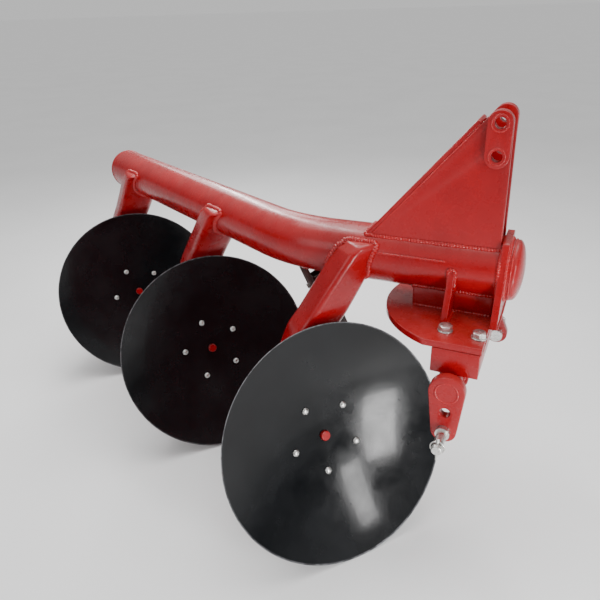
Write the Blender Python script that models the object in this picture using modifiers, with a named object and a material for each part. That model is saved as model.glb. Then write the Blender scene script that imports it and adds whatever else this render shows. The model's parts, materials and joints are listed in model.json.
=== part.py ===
"""Three-furrow mounted disc plough with a bent tube beam.

Metres, +Z up, -Y is the direction of travel, +X is the plough's own left
hand side.  Everything is laid out in a design frame whose origin is on the
ground below the front end of the beam; the empty "plough_frame" then moves
the design so that the origin is below the middle of the whole machine.
"""
import math
import bpy
import bmesh
from mathutils import Matrix, Vector

# ------------------------------------------------------------------ sizes
ORIGIN_X, ORIGIN_Y = 0.0453, 0.8659      # design point that becomes x = y = 0

GAP = 0.0003                             # clearance between touching pieces

BEAM_R = 0.0762                          # 152.4 mm pipe
BEAM_WALL = 0.008
BEAM_Z = 0.7666
BEAM_FRONT_Y = 0.006
BEND_Y = 0.597                           # where the two straights would meet
BEND_DEG = 27.78
BEND_RADIUS = 0.48
BEAM_REAR = 1.180                        # bend corner to rear end
CAP_RIM, CAP_DOME = 0.006, 0.022

DISC_R = 0.330                           # 660 mm discs
DISC_T = 0.006
DISC_SPHERE_R = 0.650
DISC_GRIND = 0.009                       # width of the ground edge
DISC_PITCH = 0.6297
DISC_1 = (-0.2647, 0.3647)               # first disc's rim centre
DISC_TILT_DEG = 21.03
DISC_AIM_DEG = 39.59                     # axle's angle to the direction of travel
BOLT_CIRCLE_R = 0.100
BOLT_TURN_DEG = {"front": 46.5, "middle": 30.0, "rear": 40.0}   # how far each disc has turned
DISC_BOLTS = 5

HOUSING_R, HOUSING_BORE_R = 0.055, 0.0265
HOUSING_FROM, HOUSING_TO = 0.128, 0.325     # behind the rim plane
SPINDLE_R, SPINDLE_TO = 0.025, 0.315
FLANGE_R, FLANGE_BACK = 0.125, 0.118
ARM_WALL = 0.010

MAST_HALF = 0.045                        # to the side plates' outer faces
MAST_T = 0.012
EAR_Y, EAR_Z_LOW, EAR_Z_TOP, EAR_R = 0.071, 1.054, 1.127, 0.0275
EAR_T = 0.016
TOP_PIN_R = 0.0128
COVER_T = 0.012

TURN_Z = 0.652                           # top face of the half-round plate
TURN_T = 0.017
TURN_R = 0.238
TURN_CY = 0.078
TURN_FRONT_Y = 0.034
TURN_SIDE_X = 0.219
TURN_BOLTS = ((-0.160, 0.131), (-0.166, 0.050), (0.160, 0.131), (0.166, 0.050))

FRONT_PLATE_Y = (0.0165, 0.0337)
FRONT_PLATE_TOP = (0.056, 0.852)
FRONT_PLATE_LOW = 0.118
GUSSET_Y = (0.134, 0.150)
GUSSET_OUT = 0.128

BOX_X = 0.222
BOX_Y = (0.036, 0.149)
BOX_Z = (0.570, 0.6347)
BOX_WALL = 0.007

SHAFT_Y, SHAFT_Z, SHAFT_R = 0.0973, 0.5435, 0.026
LUG_X = 0.265                            # outer face
LUG_T = 0.025
LUG_BIG_R, LUG_SMALL_R = 0.043, 0.031
LUG_MID, LUG_END = 0.056, 0.110          # hole distances from the shaft
LUG_TURN_DEG = {"right": 0.5, "left": 31.0}
PIN_R = 0.0127

LEG_PIVOT = (0.055, 0.552, 0.630)
LEG_FOOT = (0.250, 0.375, 0.0)
LEG_FOLD_DEG = 42.0                      # the folded leg's bearing, from +Y towards +X
LEG_SIZE = 0.042
FOOT_R, FOOT_T = 0.070, 0.008

# ----------------------------------------------------------------- set-up
for old in list(bpy.data.objects):
    bpy.data.objects.remove(old, do_unlink=True)

scene = bpy.context.scene
PARTS = bpy.data.collections.new("disc_plough")
CUTTERS = bpy.data.collections.new("cutters")
scene.collection.children.link(PARTS)
scene.collection.children.link(CUTTERS)

FRAME = bpy.data.objects.new("plough_frame", None)
FRAME.location = (-ORIGIN_X, -ORIGIN_Y, 0.0)
PARTS.objects.link(FRAME)


def material(name, colour, rough, metal=0.0):
    m = bpy.data.materials.new(name)
    m.use_nodes = True
    b = m.node_tree.nodes["Principled BSDF"]
    b.inputs["Base Color"].default_value = (*colour, 1.0)
    b.inputs["Roughness"].default_value = rough
    b.inputs["Metallic"].default_value = metal
    m.diffuse_color = (*colour, 1.0)
    return m


LOOKS = {
    "red": ((0.50, 0.008, 0.012), 0.30, 0.0),
    "black": ((0.012, 0.013, 0.013), 0.22, 0.0),
    "zinc": ((0.62, 0.61, 0.58), 0.35, 1.0),
}


def add(name, mesh, look, parent=FRAME, at=None, smooth=True):
    """A part: its own object, material and place."""
    ob = bpy.data.objects.new(name, mesh)
    PARTS.objects.link(ob)
    ob.parent = parent
    if at is not None:
        ob.matrix_local = at
    colour, rough, metal = LOOKS[look]
    mesh.materials.clear()
    mesh.materials.append(material(name + "_paint", colour, rough, metal))
    if smooth:
        mesh.shade_smooth()
        mesh.set_sharp_from_angle(angle=math.radians(35))
    return ob


def cutter(name, mesh, parent=FRAME, at=None):
    ob = bpy.data.objects.new(name, mesh)
    CUTTERS.objects.link(ob)
    ob.parent = parent
    if at is not None:
        ob.matrix_local = at
    ob.hide_render = True
    ob.display_type = "WIRE"
    return ob


def cut(ob, tool, mode="DIFFERENCE"):
    m = ob.modifiers.new(mode.lower() + "_" + tool.name, "BOOLEAN")
    m.operation = mode
    m.object = tool
    m.solver = "EXACT"
    return ob


# ------------------------------------------------------------ basic shapes
def box_mesh(sx, sy, sz, centre=(0, 0, 0)):
    bm = bmesh.new()
    bmesh.ops.create_cube(bm, size=1.0)
    bmesh.ops.scale(bm, vec=(sx, sy, sz), verts=bm.verts)
    bmesh.ops.translate(bm, vec=centre, verts=bm.verts)
    me = bpy.data.meshes.new("box")
    bm.to_mesh(me)
    bm.free()
    return me


def rod_mesh(radius, z0, z1, sides=24, r_end=None):
    """A round bar along local Z."""
    bm = bmesh.new()
    bmesh.ops.create_cone(bm, cap_ends=True, segments=sides, radius1=radius,
                          radius2=radius if r_end is None else r_end, depth=z1 - z0)
    bmesh.ops.translate(bm, vec=(0, 0, (z0 + z1) / 2), verts=bm.verts)
    me = bpy.data.meshes.new("rod")
    bm.to_mesh(me)
    bm.free()
    return me


def turned_mesh(profile, steps=32):
    """Profile of (radius, height) pairs from the top down, turned about Z."""
    bm = bmesh.new()
    vs = [bm.verts.new((r, 0.0, z)) for r, z in profile]
    for a, b in zip(vs, vs[1:]):
        bm.edges.new((a, b))
    me = bpy.data.meshes.new("profile")
    bm.to_mesh(me)
    bm.free()
    ob = bpy.data.objects.new("profile", me)
    CUTTERS.objects.link(ob)
    s = ob.modifiers.new("turn", "SCREW")
    s.axis = "Z"
    s.angle = math.tau
    s.steps = s.render_steps = steps
    s.use_merge_vertices = True
    s.merge_threshold = 0.00001
    return baked(ob)


def baked(ob, weld=0.00001):
    """The object's evaluated mesh, welded; the object itself goes."""
    bpy.context.view_layer.update()
    deps = bpy.context.evaluated_depsgraph_get()
    me = bpy.data.meshes.new_from_object(ob.evaluated_get(deps))
    bm = bmesh.new()
    bm.from_mesh(me)
    bmesh.ops.remove_doubles(bm, verts=bm.verts, dist=weld)
    bmesh.ops.recalc_face_normals(bm, faces=bm.faces)
    bm.to_mesh(me)
    bm.free()
    bpy.data.objects.remove(ob, do_unlink=True)
    return me


def plate_mesh(outline, thickness, holes=(), hole_sides=20):
    """A flat plate: its outline in local XY, holes as (x, y, radius)."""
    cu = bpy.data.curves.new("plate", "CURVE")
    cu.dimensions = "2D"
    cu.fill_mode = "BOTH"
    cu.extrude = thickness / 2
    loops = [list(outline)]
    for hx, hy, hr in holes:
        loops.append([(hx + hr * math.cos(math.tau * k / hole_sides),
                       hy + hr * math.sin(math.tau * k / hole_sides)) for k in range(hole_sides)])
    for loop in loops:
        sp = cu.splines.new("POLY")
        sp.points.add(len(loop) - 1)
        for p, (x, y) in zip(sp.points, loop):
            p.co = (x, y, 0.0, 1.0)
        sp.use_cyclic_u = True
    ob = bpy.data.objects.new("plate", cu)
    CUTTERS.objects.link(ob)
    return baked(ob)


def arc(cx, cy, r, a0, a1, n):
    """Points along an arc, angles in degrees."""
    return [(cx + r * math.cos(math.radians(a0 + (a1 - a0) * k / n)),
             cy + r * math.sin(math.radians(a0 + (a1 - a0) * k / n))) for k in range(n + 1)]


def rounded(points, radius, n=4):
    """A closed outline with its corners rounded."""
    out = []
    m = len(points)
    for i in range(m):
        p = Vector(points[i])
        a = (Vector(points[i - 1]) - p).normalized()
        b = (Vector(points[(i + 1) % m]) - p).normalized()
        half = a.angle(b) / 2
        r = radius[i] if isinstance(radius, (list, tuple)) else radius
        if r <= 0:
            out.append(tuple(p))
            continue
        t = r / math.tan(half)
        c = p + (a + b).normalized() * (r / math.sin(half))
        u, v = p + a * t - c, p + b * t - c
        turn = math.atan2(u.x * v.y - u.y * v.x, u.dot(v))
        for k in range(n + 1):
            w = Matrix.Rotation(turn * k / n, 2) @ u
            out.append(tuple(c + w))
    return out


def axes(origin, x, y, z):
    """A placement matrix from an origin and three axes."""
    return Matrix(((x[0], y[0], z[0], origin[0]),
                   (x[1], y[1], z[1], origin[1]),
                   (x[2], y[2], z[2], origin[2]),
                   (0, 0, 0, 1)))


def along(origin, direction, up=(0, 0, 1)):
    """Local Z along a direction."""
    z = Vector(direction).normalized()
    x = Vector(up).cross(z)
    if x.length < 1e-5:
        x = Vector((1, 0, 0))
    x.normalize()
    return axes(origin, x, z.cross(x), z)


def side_plane(x):
    """Local XY is the machine's YZ, local Z is +X."""
    return axes((x, 0, 0), (0, 1, 0), (0, 0, 1), (1, 0, 0))


def cross_plane(y):
    """Local XY is the machine's XZ, local Z is -Y."""
    return axes((0, y, 0), (1, 0, 0), (0, 0, 1), (0, -1, 0))


def joined(ob, others):
    """A Boolean union of meshes given as (mesh, placement)."""
    for i, (me, at) in enumerate(others):
        tool = cutter("%s_add_%d" % (ob.name, i + 1), me, ob.parent, at)
        cut(ob, tool, "UNION")
    return ob


# -------------------------------------------------------------- beam path
BEND = math.radians(BEND_DEG)
BACK = Vector((math.sin(BEND), math.cos(BEND), 0.0))       # along the rear straight
OUT = Vector((math.cos(BEND), -math.sin(BEND), 0.0))       # square to it, to the left
TANGENT = BEND_RADIUS * math.tan(BEND / 2)


def beam_points(front=BEAM_FRONT_Y, rear=BEAM_REAR, steps=9):
    pts = [Vector((0, front, BEAM_Z))]
    for k in range(steps + 1):
        a = BEND * k / steps
        pts.append(Vector((BEND_RADIUS * (1 - math.cos(a)),
                           BEND_Y - TANGENT + BEND_RADIUS * math.sin(a), BEAM_Z)))
    pts.append(Vector((0, BEND_Y, BEAM_Z)) + BACK * rear)
    return pts


def pipe_mesh(points, radius, sides_level, caps):
    cu = bpy.data.curves.new("pipe", "CURVE")
    cu.dimensions = "3D"
    cu.bevel_depth = radius
    cu.bevel_resolution = sides_level
    cu.use_fill_caps = caps
    sp = cu.splines.new("POLY")
    sp.points.add(len(points) - 1)
    for p, q in zip(sp.points, points):
        p.co = (q[0], q[1], q[2], 1.0)
    ob = bpy.data.objects.new("pipe", cu)
    CUTTERS.objects.link(ob)
    return baked(ob)


BEAM_SIDES = 10          # gives 24 sides
# a curve's faceted section is drawn on its corners, so these are corner radii
beam = add("main_beam", pipe_mesh(beam_points(), BEAM_R, BEAM_SIDES, False), "red")
shell = beam.modifiers.new("wall", "SOLIDIFY")
shell.thickness = BEAM_WALL
shell.offset = -1.0
shell.use_even_offset = True

beam_cutter = cutter("beam_space", pipe_mesh(beam_points(BEAM_FRONT_Y - 0.05, BEAM_REAR + 0.05),
                                             BEAM_R + GAP, BEAM_SIDES, True))


def end_cap(name, centre, direction):
    prof = [(0.0, CAP_RIM + CAP_DOME)]
    for k in range(1, 6):
        a = math.pi / 2 * k / 6
        prof.append((BEAM_R * math.sin(a), CAP_RIM + CAP_DOME * math.cos(a)))
    prof += [(BEAM_R, CAP_RIM), (BEAM_R, GAP), (0.0, GAP)]
    return add(name, turned_mesh(prof, 24), "red", at=along(centre, direction))


end_cap("beam_cap_front", (0, BEAM_FRONT_Y, BEAM_Z), (0, -1, 0))
end_cap("beam_cap_rear", Vector((0, BEND_Y, BEAM_Z)) + BACK * BEAM_REAR, BACK)

# ------------------------------------------------------------------- mast
SLANT = Vector((-0.651, 0.759)).normalized()               # up the mast's back edge, in (y, z)
SLANT_N = Vector((SLANT.y, -SLANT.x))
ear = Vector((EAR_Y, EAR_Z_TOP))
edge_top = ear + SLANT_N * EAR_R
drop = (edge_top.y - 0.815) / SLANT.y
edge_low = edge_top - SLANT * drop
slant_deg = math.degrees(math.atan2(SLANT_N.y, SLANT_N.x))
mast_outline = ([(0.0362, 0.815), tuple(edge_low)]
                + arc(EAR_Y, EAR_Z_TOP, EAR_R, slant_deg, 180.0, 7))
top_holes = ((EAR_Y, EAR_Z_LOW, TOP_PIN_R), (EAR_Y, EAR_Z_TOP, TOP_PIN_R))
for side, sx in (("right", -1), ("left", 1)):
    x = sx * (MAST_HALF - MAST_T / 2)
    p = add("mast_plate_" + side, plate_mesh(mast_outline, MAST_T, top_holes), "red",
            at=side_plane(x))
    cut(p, beam_cutter)
    ear_outline = (arc(EAR_Y, EAR_Z_TOP, EAR_R, 0, 180, 8)
                   + arc(EAR_Y, EAR_Z_LOW, EAR_R, 180, 360, 8))
    add("top_link_ear_" + side, plate_mesh(ear_outline, EAR_T, top_holes), "red",
        at=side_plane(sx * (MAST_HALF + GAP + EAR_T / 2)))

cover_len = drop + 0.012
cover_mid = edge_top - SLANT * (cover_len / 2 - 0.0) + SLANT_N * (COVER_T / 2 + GAP) - SLANT * 0.030
cover = add("mast_cover", box_mesh(2 * MAST_HALF, COVER_T, cover_len), "red",
            at=axes((0, cover_mid.x, cover_mid.y), (1, 0, 0),
                    (0, SLANT_N.x, SLANT_N.y), (0, SLANT.x, SLANT.y)))
b = cover.modifiers.new("edges", "BEVEL")
b.width = 0.004
b.segments = 2
b.limit_method = "ANGLE"
cut(cover, beam_cutter)

# ----------------------------------------------- headstock below the beam
fy = (FRONT_PLATE_Y[0] + FRONT_PLATE_Y[1]) / 2
fx, fz = FRONT_PLATE_TOP
front_outline = [(-fx, fz), (-FRONT_PLATE_LOW, TURN_Z + GAP), (FRONT_PLATE_LOW, TURN_Z + GAP), (fx, fz)]
front = add("headstock_front_plate", plate_mesh(rounded(front_outline, (0.008, 0, 0, 0.008), 2),
            FRONT_PLATE_Y[1] - FRONT_PLATE_Y[0]), "red", at=cross_plane(fy))
cut(front, beam_cutter)

gy = (GUSSET_Y[0] + GUSSET_Y[1]) / 2
for side, sx in (("right", -1), ("left", 1)):
    g = [(sx * 0.052, TURN_Z + GAP), (sx * GUSSET_OUT, TURN_Z + GAP),
         (sx * GUSSET_OUT, TURN_Z + 0.012), (sx * 0.0640, 0.8000), (sx * 0.052, 0.8000)]
    if sx > 0:
        g.reverse()
    p = add("headstock_gusset_" + side, plate_mesh(g, GUSSET_Y[1] - GUSSET_Y[0]), "red",
            at=cross_plane(gy))
    cut(p, beam_cutter)

saddle = add("beam_saddle", box_mesh(0.100, 0.205, 0.060, (0, 0.1395, TURN_Z + GAP + 0.030)), "red")
cut(saddle, beam_cutter)
a_side = math.degrees(math.acos(TURN_SIDE_X / TURN_R))
turn_outline = ([(TURN_SIDE_X, TURN_FRONT_Y)]
                + arc(0, TURN_CY, TURN_R, a_side, 180 - a_side, 22)
                + [(-TURN_SIDE_X, TURN_FRONT_Y)])
add("turn_plate", plate_mesh(turn_outline, TURN_T, [(x, y, 0.0112) for x, y in TURN_BOLTS], 12), "red",
    at=Matrix.Translation((0, 0, TURN_Z - TURN_T / 2)))

# cross-shaft carrier: a box beam under the turn plate, open at its ends,
# each end closed by its own plate
by, bz = (BOX_Y[0] + BOX_Y[1]) / 2, (BOX_Z[0] + BOX_Z[1]) / 2
bw, bh = BOX_Y[1] - BOX_Y[0], BOX_Z[1] - BOX_Z[0]
carrier = add("shaft_carrier", box_mesh(2 * (BOX_X - 0.008) - 2 * GAP, bw, bh, (0, by, bz)), "red")
cut(carrier, cutter("carrier_inside", box_mesh(0.6, bw - 2 * BOX_WALL, bh - 2 * BOX_WALL, (0, by, bz))))
for i, (x, y) in enumerate(TURN_BOLTS):
    cut(carrier, cutter("carrier_hole_%d" % (i + 1), rod_mesh(0.0112, bz, BOX_Z[1] + 0.02, 12),
                        at=Matrix.Translation((x, y, 0))))
for side, sx in (("right", -1), ("left", 1)):
    add("carrier_end_" + side, box_mesh(0.008, bw, bh, (sx * (BOX_X - 0.004), by, bz)), "red")


def merged(pieces):
    """Several closed meshes in one, each given as (mesh, placement)."""
    bm = bmesh.new()
    for me, at in pieces:
        one = me.copy()
        if at is not None:
            one.transform(at)
        bm.from_mesh(one)
        bpy.data.meshes.remove(one)
    out = bpy.data.meshes.new("merged")
    bm.to_mesh(out)
    bm.free()
    return out


shaft_space = cutter("shaft_space", rod_mesh(SHAFT_R + 0.0006, -0.4, 0.4, 24),
                     at=along((0, SHAFT_Y, SHAFT_Z), (1, 0, 0)))
for side, sx in (("right", -1), ("left", 1)):
    # block under the carrier that holds the cross shaft
    low, top = SHAFT_Z - 0.036, BOX_Z[0] - GAP
    y0, y1 = SHAFT_Y - 0.0355, SHAFT_Y + 0.0355
    o = rounded([(y0, low), (y1, low), (y1, top), (y0, top)], (0.024, 0.024, 0, 0), 4)
    clamp = add("shaft_clamp_" + side, plate_mesh(o, 0.050), "red", at=side_plane(sx * 0.150))
    cut(clamp, shaft_space)

# ------------------------------------------------------- cross shaft, lugs
add("cross_shaft", rod_mesh(SHAFT_R, -LUG_X, LUG_X, 24), "red",
    at=along((0, SHAFT_Y, SHAFT_Z), (1, 0, 0)))
for side, sx in (("right", -1), ("left", 1)):
    turn = math.radians(LUG_TURN_DEG[side])
    # down the lug, in (y, z): turned forward from straight down
    d = Vector((-math.sin(turn), -math.cos(turn)))
    end = Vector((SHAFT_Y, SHAFT_Z)) + d * LUG_END
    mid = Vector((SHAFT_Y, SHAFT_Z)) + d * LUG_MID
    base = math.degrees(math.atan2(d.y, d.x))
    lean = math.degrees(math.asin((LUG_BIG_R - LUG_SMALL_R) / LUG_END))
    o = (arc(SHAFT_Y, SHAFT_Z, LUG_BIG_R, base + 90 - lean, base + 270 + lean, 14)
         + arc(end.x, end.y, LUG_SMALL_R, base - 90 + lean, base + 90 - lean, 10))
    add("lower_link_lug_" + side,
        plate_mesh(o, LUG_T, [(SHAFT_Y, SHAFT_Z, SHAFT_R + 0.0006), (mid.x, mid.y, 0.013),
                              (end.x, end.y, PIN_R + 0.0006)], 24), "red",
        at=side_plane(sx * (LUG_X - LUG_T / 2)))
    # lower-link pin: collar outside the lug, nut inside it
    prof = [(0.0, 0.078), (PIN_R - 0.002, 0.078), (PIN_R, 0.076), (PIN_R, 0.014), (0.0175, 0.014),
            (0.0175, GAP), (PIN_R, GAP), (PIN_R, -LUG_T - GAP), (0.0190, -LUG_T - GAP),
            (0.0190, -LUG_T - 0.018), (0.0, -LUG_T - 0.018)]
    pin = add("lower_link_pin_" + side, turned_mesh(prof, 20), "zinc",
              at=along((sx * LUG_X, end.x, end.y), (sx, 0, 0)))
    lin_x = sx * (LUG_X + 0.063)
    cut(pin, cutter("linchpin_hole_" + side, rod_mesh(0.0050, -0.03, 0.03, 10),
                    at=along((lin_x, end.x, end.y), (0, -d.x, -d.y))))
    # linchpin: a spike through the pin, and its ring round the pin
    ring = [(0.0240 + 0.0022 * math.cos(math.tau * k / 6), -0.0022 * math.sin(math.tau * k / 6))
            for k in range(6)]
    lp = add("linchpin_" + side, rod_mesh(0.0040, -0.036, 0.0265, 10), "zinc",
             at=along((lin_x, end.x, end.y), (0, -d.x, -d.y)))
    tool = cutter("linchpin_ring_" + side, turned_mesh(ring + [ring[0]], 16),
                  at=along((lin_x, end.x, end.y), (sx, 0, 0)))
    cut(lp, tool, "UNION")

# bolts through the turn plate, screwed into the carrier
for i, (x, y) in enumerate(TURN_BOLTS):
    under = TURN_T + GAP + BOX_WALL
    prof = [(0.0, 0.016), (0.0140, 0.016), (0.0165, 0.0135), (0.0165, 0.0030), (0.0185, 0.0030),
            (0.0185, GAP), (0.0100, GAP), (0.0100, -under - 0.010), (0.0, -under - 0.010)]
    add("turn_bolt_%d" % (i + 1), turned_mesh(prof, 12), "zinc", at=Matrix.Translation((x, y, TURN_Z)))

# ------------------------------------------------------------- disc units
TILT = math.radians(DISC_TILT_DEG)
AIM = math.radians(DISC_AIM_DEG)
ES = Vector((math.sin(AIM), math.cos(AIM), 0.0))           # back along the axle, level
AXLE = ES * -math.cos(TILT) + Vector((0, 0, math.sin(TILT)))   # out of the hollow side
RIM_Z = DISC_R * math.cos(TILT)
SPHERE_Z = math.sqrt(DISC_SPHERE_R ** 2 - DISC_R ** 2)     # sphere's centre above the rim plane

# arm sections from the top down:
# (height, back along the axle, to the left, depth, breadth)
LOWER = [(0.500, 0.214, 0.010, 0.106, 0.130), (0.420, 0.235, 0.0, 0.124, 0.130),
         (0.320, 0.238, 0.0, 0.130, 0.130), (0.215, 0.238, 0.0, 0.130, 0.130)]
ARM_SECTIONS = {
    "front": [(0.815, 0.150, 0.158, 0.090, 0.100), (0.770, 0.156, 0.131, 0.090, 0.106),
              (0.690, 0.172, 0.089, 0.090, 0.118), (0.620, 0.188, 0.054, 0.090, 0.126),
              (0.575, 0.198, 0.028, 0.092, 0.130)] + LOWER,
    "middle": [(0.800, 0.050, 0.085, 0.090, 0.138), (0.740, 0.096, 0.073, 0.090, 0.138),
               (0.680, 0.146, 0.062, 0.090, 0.138), (0.625, 0.183, 0.048, 0.092, 0.136),
               (0.575, 0.198, 0.028, 0.094, 0.134)] + LOWER,
}
ARM_SECTIONS["rear"] = ARM_SECTIONS["middle"]


def loft_mesh(sections, inset=0.0):
    """Level rectangular sections joined from the top down."""
    bm = bmesh.new()
    rings = []
    for z, back, left, depth, breadth in sections:
        h, w = depth / 2 - inset, breadth / 2 - inset
        rings.append([bm.verts.new((back + sx * h, -left + sy * w, z))
                      for sx, sy in ((-1, -1), (1, -1), (1, 1), (-1, 1))])
    for a, b_ in zip(rings, rings[1:]):
        for k in range(4):
            bm.faces.new((a[k], a[(k + 1) % 4], b_[(k + 1) % 4], b_[k]))
    bm.faces.new(rings[0])
    bm.faces.new(rings[-1][::-1])
    bmesh.ops.triangulate(bm, faces=bm.faces)
    bmesh.ops.recalc_face_normals(bm, faces=bm.faces)
    me = bpy.data.meshes.new("loft")
    bm.to_mesh(me)
    bm.free()
    return me


def dish(r, extra=0.0):
    """Height of the dish's surface at radius r, above the rim plane."""
    return SPHERE_Z - math.sqrt((DISC_SPHERE_R + extra) ** 2 - r * r)


def bolt_places(turn):
    out = []
    for k in range(DISC_BOLTS):
        a = math.tau * k / DISC_BOLTS + math.radians(turn)
        at = Vector((BOLT_CIRCLE_R * math.cos(a), BOLT_CIRCLE_R * math.sin(a), dish(BOLT_CIRCLE_R)))
        out.append(along(at, Vector((0, 0, SPHERE_Z)) - at))
    return out


for i, nm in enumerate(("front", "middle", "rear")):
    c = Vector((DISC_1[0], DISC_1[1], 0)) + BACK * (DISC_PITCH * i)
    ground = axes(c, ES, (-ES.y, ES.x, 0), (0, 0, 1))
    # the seat empty lies on the spin axis, its Z out of the hollow side
    seat = bpy.data.objects.new("disc_axis_" + nm, None)
    seat.parent = FRAME
    seat.matrix_local = along((c.x, c.y, RIM_Z), AXLE)
    PARTS.objects.link(seat)

    bolt_seats = bolt_places(BOLT_TURN_DEG[nm])
    arm = add("arm_" + nm, loft_mesh(ARM_SECTIONS[nm]), "red", at=ground, smooth=False)
    top = ARM_SECTIONS[nm][0]
    inner = [(top[0] - 0.012,) + top[1:]] + [s_ for s_ in ARM_SECTIONS[nm][1:] if s_[0] > 0.31]
    cut(arm, cutter("arm_hollow_" + nm, loft_mesh(inner, ARM_WALL), at=ground))
    cut(arm, beam_cutter)
    cut(arm, cutter("housing_space_" + nm, rod_mesh(HOUSING_R + 0.0008, -HOUSING_TO - 0.05, -HOUSING_FROM + 0.03, 24),
                    seat))

    prof = [(HOUSING_R - 0.004, -HOUSING_FROM), (HOUSING_R, -HOUSING_FROM - 0.004),
            (HOUSING_R, -HOUSING_TO), (HOUSING_BORE_R, -HOUSING_TO), (HOUSING_BORE_R, -HOUSING_FROM)]
    add("bearing_housing_" + nm, turned_mesh(prof + [prof[0]], 24), "red", seat)
    prof = [(0.0, -HOUSING_TO - GAP), (0.050, -HOUSING_TO - GAP), (0.050, -HOUSING_TO - 0.008),
            (0.040, -HOUSING_TO - 0.009), (0.034, -HOUSING_TO - 0.018), (0.020, -HOUSING_TO - 0.021),
            (0.0, -HOUSING_TO - 0.022)]
    add("hub_cap_" + nm, turned_mesh(prof, 24), "red", seat)

    # blade: a 6 mm dish, hollow side forward, ground from the back to its edge,
    # with a centre hole
    n, hole_r = 6, 0.0155
    front_r = [hole_r + (DISC_R - hole_r) * k / n for k in range(n + 1)]
    back_r = [hole_r + (DISC_R - DISC_GRIND - hole_r) * k / n for k in range(n + 1)]
    prof = ([(r, dish(r)) for r in front_r] + [(r, dish(r, DISC_T)) for r in reversed(back_r)])
    blade = add("disc_" + nm, turned_mesh(prof + [prof[0]], 40), "black", seat)
    cut(blade, cutter("disc_holes_" + nm, merged([(rod_mesh(0.0074, -0.03, 0.02, 8), at)
                                                  for at in bolt_seats]), seat))

    # hub: flange on the dish's back, spindle into the housing, centre boss
    fr = [FLANGE_R * k / 3 for k in range(1, 4)]
    prof = ([(0.0, -0.080), (0.0120, -0.080), (0.0140, -0.082), (0.0140, dish(0.014, DISC_T) - 0.0010)]
            + [(r, dish(r, DISC_T) - 0.0010) for r in fr]
            + [(FLANGE_R, -FLANGE_BACK + 0.006), (FLANGE_R - 0.006, -FLANGE_BACK), (SPINDLE_R, -FLANGE_BACK),
               (SPINDLE_R, -SPINDLE_TO), (0.0, -SPINDLE_TO)])
    hub = add("hub_" + nm, turned_mesh(prof, 24), "red", seat)
    bolt = [(0.0, 0.0080), (0.0060, 0.0072), (0.0095, 0.0045), (0.0105, 0.0018), (0.0060, 0.0018),
            (0.0060, -0.016), (0.0, -0.016)]
    cut(hub, cutter("disc_bolts_" + nm, merged([(turned_mesh(bolt, 8), at) for at in bolt_seats]),
                    seat), "UNION")

# ------------------------------------------------------------- parking leg
piv, foot = Vector(LEG_PIVOT), Vector(LEG_FOOT)
down = (foot - piv).normalized()
FOLD = Vector((math.sin(math.radians(LEG_FOLD_DEG)), math.cos(math.radians(LEG_FOLD_DEG)), 0.0))
hinge = down.cross(FOLD).normalized()                      # the leg folds back and out, clear of the discs
leg_axis = bpy.data.objects.new("parking_leg_axis", None)
leg_axis.parent = FRAME
leg_axis.matrix_local = axes(piv, hinge, (-down).cross(hinge), -down)   # Z up the leg, Y back
PARTS.objects.link(leg_axis)
LEG_LEN = (foot - piv).length
half = LEG_SIZE / 2
leg = add("parking_leg", box_mesh(LEG_SIZE, LEG_SIZE, LEG_LEN + 0.025 - 0.004,
                                  (0, 0, (0.025 - LEG_LEN + 0.004) / 2)), "red", leg_axis, smooth=False)
cut(leg, cutter("leg_bore", box_mesh(LEG_SIZE - 0.010, LEG_SIZE - 0.010, LEG_LEN,
                                     (0, 0, 0.060 - LEG_LEN / 2)), leg_axis))
cut(leg, cutter("leg_pivot_hole", rod_mesh(0.0095, -0.05, 0.05, 16), leg_axis,
                along((0, 0, 0), (1, 0, 0))))
# trim below the foot's top, then the round foot flat on the ground
cut(leg, cutter("leg_ground", box_mesh(0.4, 0.4, 0.2, (foot.x, foot.y, -0.1 + FOOT_T / 2))))
cut(leg, cutter("leg_foot", rod_mesh(FOOT_R, 0.0, FOOT_T, 24), FRAME,
                Matrix.Translation((foot.x, foot.y, 0))), "UNION")

cheek_x = half + 0.005 + 0.004
holes = [(0, 0, 0.0088), (-0.0305, -0.036, 0.0066)]
cheek = rounded([(-0.044, -0.050), (0.024, -0.050), (0.024, 0.110), (-0.044, 0.110)], (0.012, 0.012, 0, 0), 3)
local_side = axes((0, 0, 0), (0, 1, 0), (0, 0, 1), (1, 0, 0))
for side, sx in (("right", -1), ("left", 1)):
    p = add("leg_bracket_" + side, plate_mesh(cheek, 0.008, holes, 16), "red", leg_axis,
            Matrix.Translation((sx * cheek_x, 0, 0)) @ local_side)
    cut(p, beam_cutter)
for nm, (py, pz), pr in (("leg_pivot_pin", (0, 0), 0.0080), ("leg_stop_pin", (-0.0305, -0.036), 0.0060)):
    reach = cheek_x + 0.004
    prof = [(0.0, reach + 0.009), (pr + 0.006, reach + 0.009), (pr + 0.006, reach + GAP), (pr, reach + GAP),
            (pr, -reach - 0.008), (0.0, -reach - 0.008)]
    add(nm, turned_mesh(prof, 16), "zinc", leg_axis, along((0, py, pz), (1, 0, 0)))
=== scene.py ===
"""Looks of the three-furrow disc plough: fine surfaces, weld beads, paint,
zinc, floor, lights and camera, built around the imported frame."""

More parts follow.
